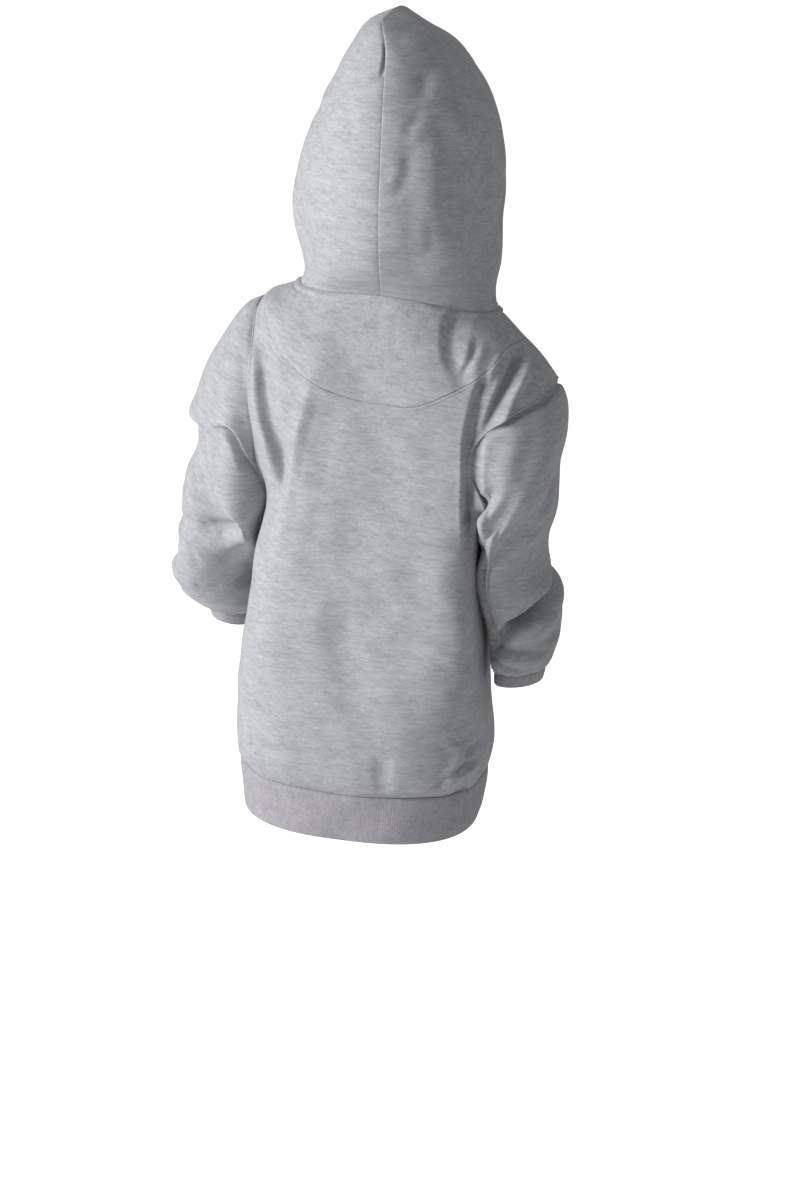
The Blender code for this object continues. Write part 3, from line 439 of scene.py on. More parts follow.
# A slow swell of all the cloth, as high as WAVE_HEIGHT for WAVES_AT_HEIGHT waves, and puckers at the ribbing.
WAVE_COUNT = 26
WAVES_AT_HEIGHT = 8
WAVE_SEED = 11
WAVE_LENGTHS = (0.022, 0.075)
WAVE_HEIGHT = 0.00042
GATHER_WAVES = 6
GATHER_START = 0.004
GATHER_REACH = 0.022
GATHER_HEIGHTS = {"back_body": 0.0003, "front_body": 0.0011, "sleeve_left": 0.0011, "sleeve_right": 0.0011}
GATHER_LENGTHS = (0.011, 0.026)

# Heather knits: two tones, how long and how wide the marks of their fibres are, and their bump and sheen.
Knit = namedtuple("Knit", "light dark along across bump sheen")
KNITS = {
    "fleece_face": Knit((0.520, 0.528, 0.545), (0.312, 0.318, 0.332), 0.0085, 0.0022, 0.35, 0.15),
    "fleece_nap": Knit((0.560, 0.565, 0.580), (0.400, 0.405, 0.420), 0.0040, 0.0030, 0.60, 0.30),
    "rib_face": Knit((0.455, 0.444, 0.472), (0.290, 0.282, 0.306), 0.0030, 0.0024, 0.30, 0.12),
}
# The scales of the fibres' marks, as shares of a knit's, and how much each scale counts.
Tone = namedtuple("Tone", "along across detail weight")
TONES = [Tone(1.0, 1.0, 3.0, 0.40), Tone(0.4, 0.55, 3.0, 0.34), Tone(2.6, 4.0, 2.0, 0.26)]
TONE_RANGE = (0.36, 0.64)
FIBRE_ROUGHNESS = 0.62
BUMP_HEIGHT = 0.0006
MATT = {"Roughness": 0.95, "Specular IOR Level": 0.15, "Sheen Roughness": 0.5}

# The camera stands behind the wearer, a little to the wearer's right, and looks down at the back.
CAMERA_AZIMUTH = 190.0
CAMERA_DISTANCE = 1.85
CAMERA_HEIGHT = 0.43
CAMERA_PITCH = 20.0
CAMERA_ROLL = 3.2
CAMERA_YAW = -0.38
CAMERA_LENS = 77.1

Lamp = namedtuple("Lamp", "name place target size power")
LAMPS = [
    Lamp("key", (2.20, 1.62, 0.75), (0.0, 0.0, -0.10), 1.8, 88.5),
    Lamp("rim", (-2.20, -0.90, 0.70), (0.0, 0.0, -0.10), 1.4, 2.5),
]
WORLD_STRENGTH = 0.27
FLOOR_HEIGHT = -0.75
FLOOR_HALF = 14.0
FLOOR_COLOUR = (0.93, 0.93, 0.93, 1)
FLOOR_GLOW = 0.80

# A piece as a fine grid: its points, the ways that they are lifted, its grain and its coarse rows.
Cloth = namedtuple("Cloth", "name points steer grain rows closed rib")


def hermite(here, there, rise_here, rise_there, part):
    """The smooth curve from here to there, with those rises at its ends, at a part of the way."""
    return (
        here * (2 * part**3 - 3 * part**2 + 1)
        + there * (3 * part**2 - 2 * part**3)
        + rise_here * (part**3 - 2 * part**2 + part)
        + rise_there * (part**3 - part**2)
    )


def spline(rows, place):
    """Values of the table's rows at each place, on a smooth curve through the rows."""
    rows = np.asarray(rows, float)
    place = np.clip(np.asarray(place, float), 0, len(rows) - 1)
    start = np.minimum(place.astype(int), len(rows) - 2)
    part = (place - start).reshape(place.shape + (1,) * (rows.ndim - 1))
    here, there = rows[start], rows[start + 1]
    before = rows[np.maximum(start - 1, 0)]
    after = rows[np.minimum(start + 2, len(rows) - 1)]
    rise_here = (there - before) / np.where(start > 0, 2, 1).reshape(part.shape)
    rise_there = (after - here) / np.where(start + 2 < len(rows), 2, 1).reshape(part.shape)
    return hermite(here, there, rise_here, rise_there, part)


def unit(vectors):
    """The vectors at length 1."""
    return vectors / np.maximum(np.linalg.norm(vectors, axis=-1, keepdims=True), SMALLEST)


def smooth_step(value):
    """A smooth rise from 0 at 0 to 1 at 1."""
    value = np.clip(value, 0, 1)
    return value * value * (3 - 2 * value)


def spacings(points, axis=0):
    """The distances between neighbouring points along an axis of a grid."""
    return np.linalg.norm(np.diff(points, axis=axis), axis=-1)


def running(steps, axis=0):
    """The running total of steps along an axis, from 0."""
    total = np.cumsum(steps, axis=axis)
    return np.concatenate([np.zeros_like(total.take([0], axis)), total], axis=axis)


def looped(grid, closed=True):
    """The grid, with its first column again after its last where it is closed."""
    return np.concatenate([grid, grid[:, :1]], axis=1) if closed else grid


def share_along(line):
    """How far along a line of points each of them is, from 0 to 1."""
    steps = spacings(line)
    return running(steps) / steps.sum()


def points_at(line, shares):
    """Points at the given shares of a line's length."""
    return np.stack([np.interp(shares, share_along(line), line[:, axis]) for axis in range(3)], axis=-1)


def body_point(angle, level):
    """The body's outer face at an angle round it from its left through its back, and at a level of rings."""
    angle, level = np.broadcast_arrays(np.asarray(angle, float), np.asarray(level, float))
    columns = spline([ring[1:] for ring in BODY], level)
    left_z, right_z, back_z, front_z, left, right, back, front, middle, *squares = np.moveaxis(columns, -1, 0)
    cos, sin = np.cos(angle), np.sin(angle)
    across = np.where(cos > 0, left, right)
    along = np.where(sin > 0, back, front)
    square = np.where(sin > 0, np.where(cos > 0, squares[1], squares[2]), squares[0])
    reach = ((np.abs(cos) / across) ** square + (np.abs(sin) / along) ** square) ** (-1 / square)
    height = np.where(cos > 0, left_z, right_z) * cos**2 + np.where(sin > 0, back_z, front_z) * sin**2
    return np.stack([middle + reach * cos, reach * sin, height], axis=-1)


def armhole_edge(arm, share, back):
    """Angle from the side and level of the armhole's edge, at shares of the way from underarm to shoulder."""
    widest = np.radians(arm.back if back else arm.front)
    lean = arm.back_lean if back else 0.0
    turn = np.pi * share
    angle = widest * np.sin(turn) * (1 - lean * np.cos(turn))
    level = UNDERARM + (SHOULDER_TIP - UNDERARM) * (1 - np.cos(turn)) / 2
    return angle, level


def side_edge(arm, back, rows):
    """Angle and level of a body panel's side edge at its rows: side seam, armhole, then shoulder seam."""
    knots = [0, SIDE_SEAM_ROWS, ARMHOLE_TOP, YOKE_SIDE, YOKE_SIDE + YOKE_ROWS]
    share = np.clip((rows - SIDE_SEAM_ROWS) / ARMHOLE_ROWS, 0, 1)
    angle, level = armhole_edge(arm, share, back)
    on_armhole = (share > 0) & (share < 1)
    seam_level = np.interp(rows, knots, [0, UNDERARM, SHOULDER_TIP, YOKE_END, NECK])
    return np.where(on_armhole, angle, 0.0), np.where(on_armhole, level, seam_level)


def evened(plane):
    """The grid with its inner points evened out between its edges by Winslow's rule: no rows cross."""
    plane = plane.copy()
    for _ in range(EVENING_ROUNDS):
        across = (plane[1:-1, 2:] - plane[1:-1, :-2]) / 2
        along = (plane[2:, 1:-1] - plane[:-2, 1:-1]) / 2
        twist = plane[2:, 2:] - plane[:-2, 2:] - plane[2:, :-2] + plane[:-2, :-2]
        across_weight = (along**2).sum(axis=-1, keepdims=True)
        along_weight = (across**2).sum(axis=-1, keepdims=True)
        shear = (across * along).sum(axis=-1, keepdims=True)
        total = across_weight * (plane[1:-1, 2:] + plane[1:-1, :-2])
        total += along_weight * (plane[2:, 1:-1] + plane[:-2, 1:-1]) - shear * twist / 2
        plane[1:-1, 1:-1] = total / (across_weight + along_weight) / 2
    return plane


def yoke_rise(place):
    """How far up from its lowest point the yoke seam is, from 0 to 1, at a place from -1 (left) to 1."""
    left = np.abs(place) ** YOKE_LEFT_FLATNESS
    return np.where(place < 0, left, smooth_step((place - YOKE_RIGHT_FLAT) / YOKE_RIGHT_RISE))


def panel_plane(left_edge, right_edge, drop, columns):
    """Angle and level of a body panel's points, in rows that sag by drop between its left and right edges."""
    across = np.linspace(0, 1, columns + 1)[None, :]
    left_angle, left_level = (np.asarray(value)[:, None] for value in left_edge)
    right_angle, right_level = (np.asarray(value)[:, None] for value in right_edge)
    angle = left_angle + (np.pi - right_angle - left_angle) * across
    sag = np.asarray(drop)[:, None] * (1 - yoke_rise(2 * across - 1))
    level = left_level + (right_level - left_level) * across - sag
    plane = evened(np.stack(np.broadcast_arrays(angle, level * LEVEL_SPAN), axis=-1))
    return plane / np.array([1, LEVEL_SPAN])


def body_plane(back):
    """The coarse plane of the back body or of the front body."""
    rows = np.arange((YOKE_SIDE if back else YOKE_SIDE + YOKE_ROWS) + 1)
    left = side_edge(ARMHOLES["left"], back, rows)
    right = side_edge(ARMHOLES["right"], back, rows)
    share = np.clip((rows - SIDE_SEAM_ROWS) / (rows[-1] - SIDE_SEAM_ROWS), 0, 1)
    top = YOKE_END - YOKE_DROP if back else NECK
    middle = UNDERARM + (top - UNDERARM) * share
    drop = np.where(share > 0, (left[1] + right[1]) / 2 - middle, 0)
    return panel_plane(left, right, drop, BACK_COLUMNS if back else FRONT_COLUMNS)


def yoke_plane():
    """The coarse plane of the half-moon yoke."""
    rows = np.linspace(0, 1, YOKE_ROWS + 1)
    edge = (0 * rows, YOKE_END + (NECK - YOKE_END) * rows)
    return panel_plane(edge, edge, YOKE_DROP * (1 - rows), BACK_COLUMNS)


def armhole_loop(side, places):
    """The armhole's points at places from the underarm (0) up its back to the shoulder and down its front."""
    arm = ARMHOLES[side]
    back = places <= ARMHOLE_ROWS
    share = np.where(back, places, 2 * ARMHOLE_ROWS - places) / ARMHOLE_ROWS
    back_angle, level = armhole_edge(arm, share, True)
    front_angle, _ = armhole_edge(arm, share, False)
    angle = np.where(back, back_angle, -front_angle)
    return body_point(angle if side == "left" else np.pi - angle, level)


def sleeve_ring(ring, turn):
    """Points of a sleeve's ring, from its inner edge round its back to its outer edge and its front."""
    square = 2 / ring.square
    across = -np.sign(np.cos(turn)) * np.abs(np.cos(turn)) ** square
    along = np.sign(np.sin(turn)) * np.abs(np.sin(turn)) ** square
    middle_x = (ring.outer_x + ring.inner_x) / 2
    middle_z = (ring.outer_z + ring.inner_z) / 2
    x = middle_x + across * (ring.outer_x - ring.inner_x) / 2
    z = middle_z + across * (ring.outer_z - ring.inner_z) / 2
    return np.stack([x, ring.mid_y + along * ring.half_y - across * ring.skew, z], axis=-1)


def clear_of_body(points, clearance):
    """Moves points that come too near the body straight out of it, so that a sleeve lies along its side."""
    middle = np.array(BODY_MIDDLE)
    angle = np.arctan2(points[..., 1] - middle[1], points[..., 0] - middle[0]).reshape(-1)
    levels = np.linspace(0, UNDERARM + 2, CLEARING_LEVELS)
    rings = body_point(angle[:, None], levels[None, :])
    flat = points.reshape(-1, 3).copy()
    gaps = np.broadcast_to(clearance, points.shape[:-1]).reshape(-1)
    for index, rows in enumerate(rings):
        on_body = body_point(angle[index], np.interp(flat[index, 2], rows[:, 2], levels))
        away = flat[index, :2] - middle
        distance = np.linalg.norm(away)
        excess = np.linalg.norm(on_body[:2] - middle) + gaps[index] - distance
        if excess > -CLEARING_EASE:
            eased = (excess + CLEARING_EASE) ** 2 / (4 * CLEARING_EASE)
            push = eased if excess < CLEARING_EASE else excess
            flat[index, :2] = middle + away * (distance + push) / distance
    return flat.reshape(points.shape)


def sleeve(side):
    """Coarse grid of a sleeve from the armhole to the cuff seam."""
    loop = armhole_loop(side, np.arange(2.0 * ARMHOLE_ROWS))
    turn = np.linspace(0, 2 * np.pi, len(loop), endpoint=False)
    rings = np.stack([sleeve_ring(ring, turn) for ring in SLEEVES[side]])
    slope_x, slope_z = SLEEVE_HEAD_SLOPE[side]
    head = np.array([slope_x, 0.0, slope_z]) * SLEEVE_HEAD_PULL
    underarm = (1 + np.cos(turn))[:, None] / 2
    pit = np.array([np.sign(slope_x) * UNDERARM_PULL[0], 0.0, UNDERARM_PULL[1]])
    leave = head * (1 - underarm) + pit * underarm
    arrive = (rings[1] - rings[0]) * SLEEVE_HEAD_ARRIVAL
    grid = [loop]
    for part in np.linspace(0, 1, SLEEVE_HEAD_ROWS + 1)[1:]:
        grid.append(hermite(loop, rings[0], leave, arrive, part))
    lower_places = np.linspace(0, len(rings) - 1, SLEEVE_ROWS - SLEEVE_HEAD_ROWS + 1)[1:]
    grid = np.stack([*grid, *spline(rings, lower_places)])
    row = np.arange(1, len(grid))[:, None]
    reach = np.clip(row / SLEEVE_HEAD_ROWS, underarm[:, 0] * np.clip(row / CLEARED_ROWS, 0, 1), 1)
    cleared = clear_of_body(grid[1:], BODY_CLEARANCE * reach)
    even = np.linspace(0, 1, len(loop) + 1)[:-1]
    spread = np.stack([points_at(np.concatenate([ring, ring[:1]]), even) for ring in cleared])
    eased = cleared + (spread - cleared) * smooth_step(row / SLEEVE_HEAD_ROWS)[..., None]
    pushed = np.linalg.norm(cleared - grid[1:], axis=-1, keepdims=True) / BODY_CLEARANCE
    for _ in range(CORNER_ROUNDS):
        pushed = np.maximum(pushed, np.maximum(np.roll(pushed, 1, axis=1), np.roll(pushed, -1, axis=1)) / 2)
        between = (np.roll(eased, 1, axis=1) + np.roll(eased, -1, axis=1)) / 2
        eased = eased + (between - eased) * np.clip(pushed, 0, 1) / 2
    return np.concatenate([grid[:1], eased])


def neck_line(side, places, swing=0.0):
    """The neck seam's points for a hood half, from the middle of the front (0) to the middle of the back,
    which the hood's centre seam meets at an angle of swing to the wearer's left."""
    past_side = places - FRONT_COLUMNS / 2
    angle = np.where(past_side < 0, past_side / FRONT_COLUMNS, past_side / BACK_COLUMNS) * np.pi
    angle = angle - side * swing * smooth_step(angle / (np.pi / 2))
    return body_point(angle if side > 0 else np.pi - angle, NECK)


def hood_row(row, side, shares):
    """Points of a hood row from the opening's edge to the centre back seam, at shares of its length."""
    opening = (row.left_open if side > 0 else row.right_open) / max(row.half, SMALLEST)
    start = np.arcsin(min(opening, 1.0)) if row.half > 0 else CROWN_START
    angle = np.linspace(start, np.pi, HOOD_ROW_STEPS)
    depth = (row.back_y - row.front_y) / (1 + np.cos(start))
    y = row.back_y - depth - depth * np.cos(angle)
    along = (y - row.front_y) / (row.back_y - row.front_y)
    flare = max(opening - 1.0, 0.0) * row.half * (1 - smooth_step(along / FLARE_SHARE))
    x = row.half * np.sin(angle) + flare
    z = row.front_z + (row.back_z - row.front_z) * along + row.arch * 4 * along * (1 - along)
    middle = row.mid_x + row.turn * (row.back_y - y)
    return points_at(np.stack([middle + side * x, y, z], axis=-1), shares)


def hood(side, neck, shares, rows):
    """Grid of a hood half at its rows, with columns from the opening to the centre back seam."""
    table = np.stack([neck] + [hood_row(row, side, shares) for row in HOOD])
    return spline(table, np.asarray(rows) * (len(table) - 1) / HOOD_ROWS)


def bend(fold, share):
    """Points of the fold's bent line."""
    start, middle, end = (np.asarray(point) for point in (fold.start, fold.middle, fold.end))
    share = share[:, None]
    return start * (1 - share) ** 2 + middle * 2 * share * (1 - share) + end * share**2


def facing(side, normals, low, high):
    """How far normals look to the side that a fold is seen from, as a weight from 0 to 1."""
    return smooth_step((normals @ np.asarray(FACING[side], float) - low) / (high - low))


def fold_rise(points, normals):
    """How far the largest folds lift each point along its normal."""
    rise = np.zeros(points.shape[:-1])
    for fold in FOLDS:
        seen = points[..., SEEN_AXES[fold.side]]
        line = bend(fold, np.linspace(0, 1, FOLD_STEPS))
        distance = np.linalg.norm(seen[..., None, :] - line, axis=-1).min(axis=-1)
        weight = facing(fold.side, normals, *FOLD_FACING)
        rise += fold.depth * weight * (1 - smooth_step(distance / fold.half_width / FOLD_FADE))
    return rise


def grid_normals(name, grid, closed):
    """Normals of a grid's points, each the sum of its cells' normals, pointing out of the garment."""
    joined = looped(grid, closed)
    normal = np.cross(joined[1:, 1:] - joined[:-1, :-1], joined[1:, :-1] - joined[:-1, 1:])
    total = np.zeros_like(joined)
    for rows in (slice(0, -1), slice(1, None)):
        for columns in (slice(0, -1), slice(1, None)):
            total[rows, columns] += normal
    if closed:
        total[:, 0] += total[:, -1]
        total = total[:, :-1]
    return -total if name in TURNED_IN else total


def shared_normals(grids):
    """Normals of each coarse grid, the same on both sides of every seam: the mean of the groups that meet."""
    keys, sums = {}, {}
    for name, grid in grids.items():
        keys[name] = [tuple(key) for key in np.round(grid * PLACES_A_METRE).astype(int).reshape(-1, 3)]
        group = "body" if "body" in name or "yoke" in name else name.split("_")[0]
        for key, normal in zip(keys[name], grid_normals(name, grid, "sleeve" in name).reshape(-1, 3)):
            groups = sums.setdefault(key, {})
            groups[group] = groups.get(group, 0) + normal
    means = {key: unit(sum(unit(normal) for normal in groups.values())) for key, groups in sums.items()}
    normals = {name: np.array([means[key] for key in keys[name]]) for name in grids}
    return {name: normals[name].reshape(grid.shape) for name, grid in grids.items()}


def cell_of(name):
    """How far apart a piece's lines are, away from its edges."""
    return CELLS[name if name in CELLS else name.split("_")[0]]


def line_places(grid, axis, cell, kept=()):
    """Fractional rows or columns of the fine lines: close together at both ends, a cell apart elsewhere."""
    along = running(spacings(grid, axis).mean(axis=1 - axis))
    near, step = [0.0], EDGE_CELL
    while step < cell and near[-1] < along[-1] / 3:
        near.append(near[-1] + step)
        step *= EDGE_GROWTH
    far = along[-1] - np.array(near)[::-1]
    count = max(int(np.ceil((far[0] - near[-1]) / cell)), 1)
    distances = np.concatenate([near, np.linspace(near[-1], far[0], count + 1)[1:-1], far])
    places = np.interp(distances, along, np.arange(len(along)))
    for place in kept:
        places[np.abs(places - place).argmin()] = place
    return places


def refined(grid, rows, columns, closed=False):
    """The grid's values at fractional rows and columns, on a smooth surface through them."""
    wrap = 3 if closed else 0
    if closed:
        grid = np.concatenate([grid[:, -wrap:], grid, grid[:, :wrap]], axis=1)
    across = np.moveaxis(spline(np.moveaxis(grid, 1, 0), columns + wrap), 0, 1)
    return spline(across, rows)


def fade(places, reach):
    """A weight of 1 at the first place, which falls to 0 within reach."""
    return np.clip(1 - np.abs(places) / reach, 0, 1) ** 2


def folded(cloth):
    """The cloth with its largest folds."""
    return cloth._replace(points=cloth.points + cloth.steer * fold_rise(cloth.points, cloth.steer)[..., None])


def fine_body(name, plane, coarse, normals, back):
    """A fine body panel on the body's rings."""
    has_armholes = name != "back_yoke"
    rows = line_places(coarse, 0, cell_of(name), (SIDE_SEAM_ROWS, ARMHOLE_TOP) if has_armholes else ())
    columns = line_places(coarse, 1, cell_of(name))
    fine = refined(plane, rows, columns)
    if has_armholes:
        for side, line in (("left", 0), ("right", -1)):
            angle, level = side_edge(ARMHOLES[side], back, rows)
            exact = np.stack([angle if side == "left" else np.pi - angle, level], axis=-1)
            weight = fade(columns - columns[line], FITTED_COLUMNS)
            fine = fine + (exact - fine[:, line])[:, None] * weight[None, :, None]
    angle, level = fine[..., 0], fine[..., 1]
    points = body_point(angle if back else -angle, level)
    heights = [np.mean(ring[1:5]) for ring in BODY]
    grain = np.stack([angle * GRAIN_RADIUS, np.interp(level, np.arange(len(BODY)), heights)], axis=-1)
    return folded(Cloth(name, points, unit(refined(normals, rows, columns)), grain, rows, False, False))


def fine_hood(name, coarse, normals, shares):
    """A fine hood half."""
    side = 1 if name == "hood_left" else -1
    rows, columns = (line_places(coarse, axis, cell_of(name)) for axis in (0, 1))
    points = hood(side, neck_line(side, columns, NECK_SWING), spline(shares, columns), rows)
    steer = unit(refined(normals, rows, columns))
    return folded(Cloth(name, points, steer, lengths_along(points, False), rows, False, False))


def fine_sleeve(name, coarse, normals):
    """A fine sleeve, whose first row lies on its armhole."""
    ring = coarse[SLEEVE_HEAD_ROWS]
    around = np.linalg.norm(ring - np.roll(ring, 1, axis=0), axis=-1).sum()
    rows = line_places(coarse, 0, cell_of(name))
    columns = np.linspace(0, coarse.shape[1], int(around / cell_of(name)), endpoint=False)
    points = refined(coarse, rows, columns, True)
    exact = armhole_loop(name.split("_")[1], columns)
    points = points + (exact - points[0]) * fade(rows, FITTED_ROWS)[:, None, None]
    steer = unit(refined(normals, rows, columns, True))
    top, end = points[0].mean(axis=0), points[-1].mean(axis=0)
    along = looped((points - top) @ unit(end - top))
    u = np.linspace(0, SLEEVE_GIRTH, len(columns) + 1)[None, :]
    grain = np.stack(np.broadcast_arrays(u, along), axis=-1)
    return folded(Cloth(name, points, steer, grain, rows, True, False))


def lengths_along(points, closed):
    """Grain coordinates of a grid's points: mean lengths along its rows and along its columns."""
    joined = looped(points, closed)
    u = running(spacings(joined, 1).mean(axis=0))
    v = running(spacings(joined, 0).mean(axis=1))
    return np.stack(np.broadcast_arrays(u[None, :], v[:, None]), axis=-1)


def rib_ring(ring):
    """The closed ring's points spread evenly, CELLS_A_RIB to a rib."""
    closed = np.concatenate([ring, ring[:1]])
    ribs = int(spacings(closed).sum() / RIB_PITCH)
    return points_at(closed, np.linspace(0, 1, ribs * CELLS_A_RIB, endpoint=False))


def fine_band(back, front):
    """The hem band below the body's hem seam."""
    ring = rib_ring(np.concatenate([back.points[0], front.points[0][-2:0:-1]]))
    outward = unit((ring - ring.mean(axis=0)) * np.array([1, 1, 0]))
    table = np.array(BAND)
    places = line_places(np.repeat(table[:, None, :], 2, axis=1), 0, RIB_CELL)
    down, shrink = spline(table, places).T
    points = ring - outward * shrink[:, None, None] - np.array([0, 0, 1]) * down[:, None, None]
    return rib_cloth("hem_band", points, places)


def fine_cuff(side, sleeve_cloth):
    """A cuff below the sleeve's bloused end."""
    top = rib_ring(sleeve_cloth.points[-1])
    outward = unit(top - top.mean(axis=0))
    top = top - outward * CUFF_INSET
    shares = line_places(np.array([[[0, 0, 0.0]] * 2, [[0, 0, CUFF_LENGTH]] * 2]), 0, RIB_CELL)
    step = np.array([*CUFF_LEAN[side], -1.0]) * CUFF_LENGTH
    points = top + (step - outward * CUFF_TAPER) * shares[:, None, None]
    return rib_cloth("cuff_" + side, points, shares)


def rib_cloth(name, points, rows):
    """A ribbed ring's cloth."""
    steer = unit(grid_normals(name, points, True))
    return Cloth(name, points, steer, lengths_along(points, True), rows, True, True)


def all_cloth():
    """Every cut piece as a fine grid on its solid's outer form."""
    planes = {"back_body": body_plane(True), "back_yoke": yoke_plane(), "front_body": body_plane(False)}
    grids = {}
    for name, plane in planes.items():
        grids[name] = body_point(-plane[..., 0] if name == "front_body" else plane[..., 0], plane[..., 1])
    neck_places = np.arange(FRONT_COLUMNS // 2 + BACK_COLUMNS // 2 + 1.0)
    necks = {side: neck_line(side, neck_places) for side in (1, -1)}
    shares = (share_along(necks[1]) + share_along(necks[-1])) / 2
    for side, name in ((1, "hood_left"), (-1, "hood_right")):
        grids[name] = hood(side, necks[side], shares, np.arange(HOOD_ROWS + 1.0))
    for side in ARMHOLES:
        grids["sleeve_" + side] = sleeve(side)
    normals = shared_normals(grids)
    cloths = {}
    for name, grid in grids.items():
        if name in planes:
            cloths[name] = fine_body(name, planes[name], grid, normals[name], name != "front_body")
        elif "hood" in name:
            cloths[name] = fine_hood(name, grid, normals[name], shares)
        else:
            cloths[name] = fine_sleeve(name, grid, normals[name])
    cloths["hem_band"] = fine_band(cloths["back_body"], cloths["front_body"])
    for side in ARMHOLES:
        cloths["cuff_" + side] = fine_cuff(side, cloths["sleeve_" + side])
    return cloths


def beside_line(mark, points, steer, reach):
    """Which points are within reach of a crease's line, with their distance from it and to the left of its
    way, and a weight that fades toward its ends and where the cloth turns away."""
    seen = points[..., SEEN_AXES[mark.side]]
    line = spline(mark.line, np.linspace(0, len(mark.line) - 1, CREASE_STEPS))
    near = ((seen > line.min(axis=0) - reach) & (seen < line.max(axis=0) + reach)).all(axis=-1)
    offset = seen[near][:, None] - line
    distances = np.linalg.norm(offset, axis=-1)
    nearest = distances.argmin(axis=1)
    along = unit(np.gradient(line, axis=0))[nearest]
    closest = offset[np.arange(len(nearest)), nearest]
    signed = along[:, 0] * closest[:, 1] - along[:, 1] * closest[:, 0]
    way = (along * closest).sum(axis=-1)
    share = np.clip(share_along(line)[nearest] + way / spacings(line).sum(), 0, 1)
    ends = smooth_step(share / CREASE_FADE) * smooth_step((1 - share) / CREASE_FADE)
    distance = np.where((share > 0) & (share < 1), np.abs(signed), distances.min(axis=1))
    return near, distance, signed, ends * facing(mark.side, steer[near], *CREASE_FACING)


def overlap_rise(mark, points, steer):
    """How far one overlap moves each point toward the side that it is seen from, or back."""
    rise = np.zeros(points.shape[:-1])
    reach = max(mark.over_reach, mark.under_reach) * OVERLAP_MARGIN
    near, distance, signed, weight = beside_line(mark, points, steer, reach)
    step = smooth_step(signed / mark.edge + 0.5)
    over = mark.over * (1 - smooth_step(distance / mark.over_reach))
    under = mark.under * (1 - smooth_step(distance / mark.under_reach))
    rise[near] = (over * step - under * (1 - step)) * weight
    return rise[..., None] * np.asarray(FACING[mark.side], float)


def crease_rise(crease, points, steer):
    """How far one crease lifts each point."""
    rise = np.zeros(points.shape[:-1])
    near, distance, signed, weight = beside_line(crease, points, steer, crease.half_width * CREASE_MARGIN)
    distance = distance / crease.half_width
    power = SOFT_POWER - (SOFT_POWER - CRISP_POWER) * crease.sharp
    trough = (1 - np.clip(distance, 0, 1) ** power) ** 2
    lip_side = smooth_step(signed * np.sign(crease.lip) / crease.half_width + 0.5) if crease.lip else 0
    lip = np.abs(crease.lip) * lip_side * (1 - smooth_step(np.abs(distance - LIP_PLACE) / LIP_REACH))
    rise[near] = (crease.depth * trough + lip) * weight
    return rise


def waves(points):
    """A slow, uneven swell of the cloth, the same for points that lie together."""
    draw = np.random.default_rng(WAVE_SEED)
    total = np.zeros(points.shape[:-1])
    for _ in range(WAVE_COUNT):
        length = draw.uniform(*WAVE_LENGTHS)
        way = unit(draw.normal(size=3))
        phase = 2 * np.pi * (points @ way) / length + draw.uniform(0, 2 * np.pi)
        total += np.sin(phase) * (length / WAVE_LENGTHS[1])
    return WAVE_HEIGHT * total / np.sqrt(WAVE_COUNT / WAVES_AT_HEIGHT)


def edge_distances(points, closed):
    """Each point's distance along the cloth to the grid's first row, last row, left side and right side."""
    first = running(spacings(points, 0))
    distances = {"first": first, "last": first[-1] - first}
    if not closed:
        left = running(spacings(points, 1), 1)
        distances.update(left=left, right=left[:, -1:] - left)
    return distances


def seam_rise(seam, distance):
    """How far a seam lifts the cloth at a distance from it."""
    rise = seam.height * (1 - smooth_step((distance - seam.width) / seam.soft))
    rise = rise - seam.groove * np.exp(-((distance / seam.groove_width) ** 2))
    return rise - seam.stitch_depth * np.exp(-(((distance - seam.stitch_at) / STITCH_WIDTH) ** 2))


def edge_round(radius, distance):
    """How far the cloth's face is drawn in at a rounded edge."""
    inside = np.clip(radius - distance, 0, radius)
    return radius - np.sqrt(np.maximum(radius**2 - inside**2, 0))


def seam_parts(cloth):
    """Each edge of a piece and the distances from it, with the name and weight of each seam there."""
    armhole = smooth_step((cloth.rows - SIDE_SEAM_ROWS) / SEAM_CHANGE_ROWS)
    armhole = (armhole * smooth_step((ARMHOLE_TOP - cloth.rows) / SEAM_CHANGE_ROWS))[:, None]
    kinds = EDGES[cloth.name]._asdict()
    for edge, distance in edge_distances(cloth.points, cloth.closed).items():
        if kinds[edge] == "sides":
            yield edge, distance, "armhole_body", armhole
            yield edge, distance, "plain", 1 - armhole
        else:
            yield edge, distance, kinds[edge], 1.0


def yoke_shown(points):
    """How much the yoke's seam stands out: it nearly vanishes toward the wearer's left."""
    return 1 - YOKE_VANISHING * smooth_step((points[..., 0] - YOKE_VANISHES_FROM) / YOKE_VANISHES_WITHIN)


def seams_rise(cloth):
    """How far all of a piece's seams lift its outer face, and how far its edges are rounded."""
    rise = np.zeros(cloth.points.shape[:-1])
    rounding = np.zeros_like(rise)
    for _, distance, name, weight in seam_parts(cloth):
        seam = SEAMS[name]
        shown = yoke_shown(cloth.points) if name.startswith("yoke") else 1.0
        rise += seam_rise(seam, distance) * weight * shown
        rounding = np.maximum(rounding, edge_round(seam.round, distance) * weight * shown)
    return rise, rounding


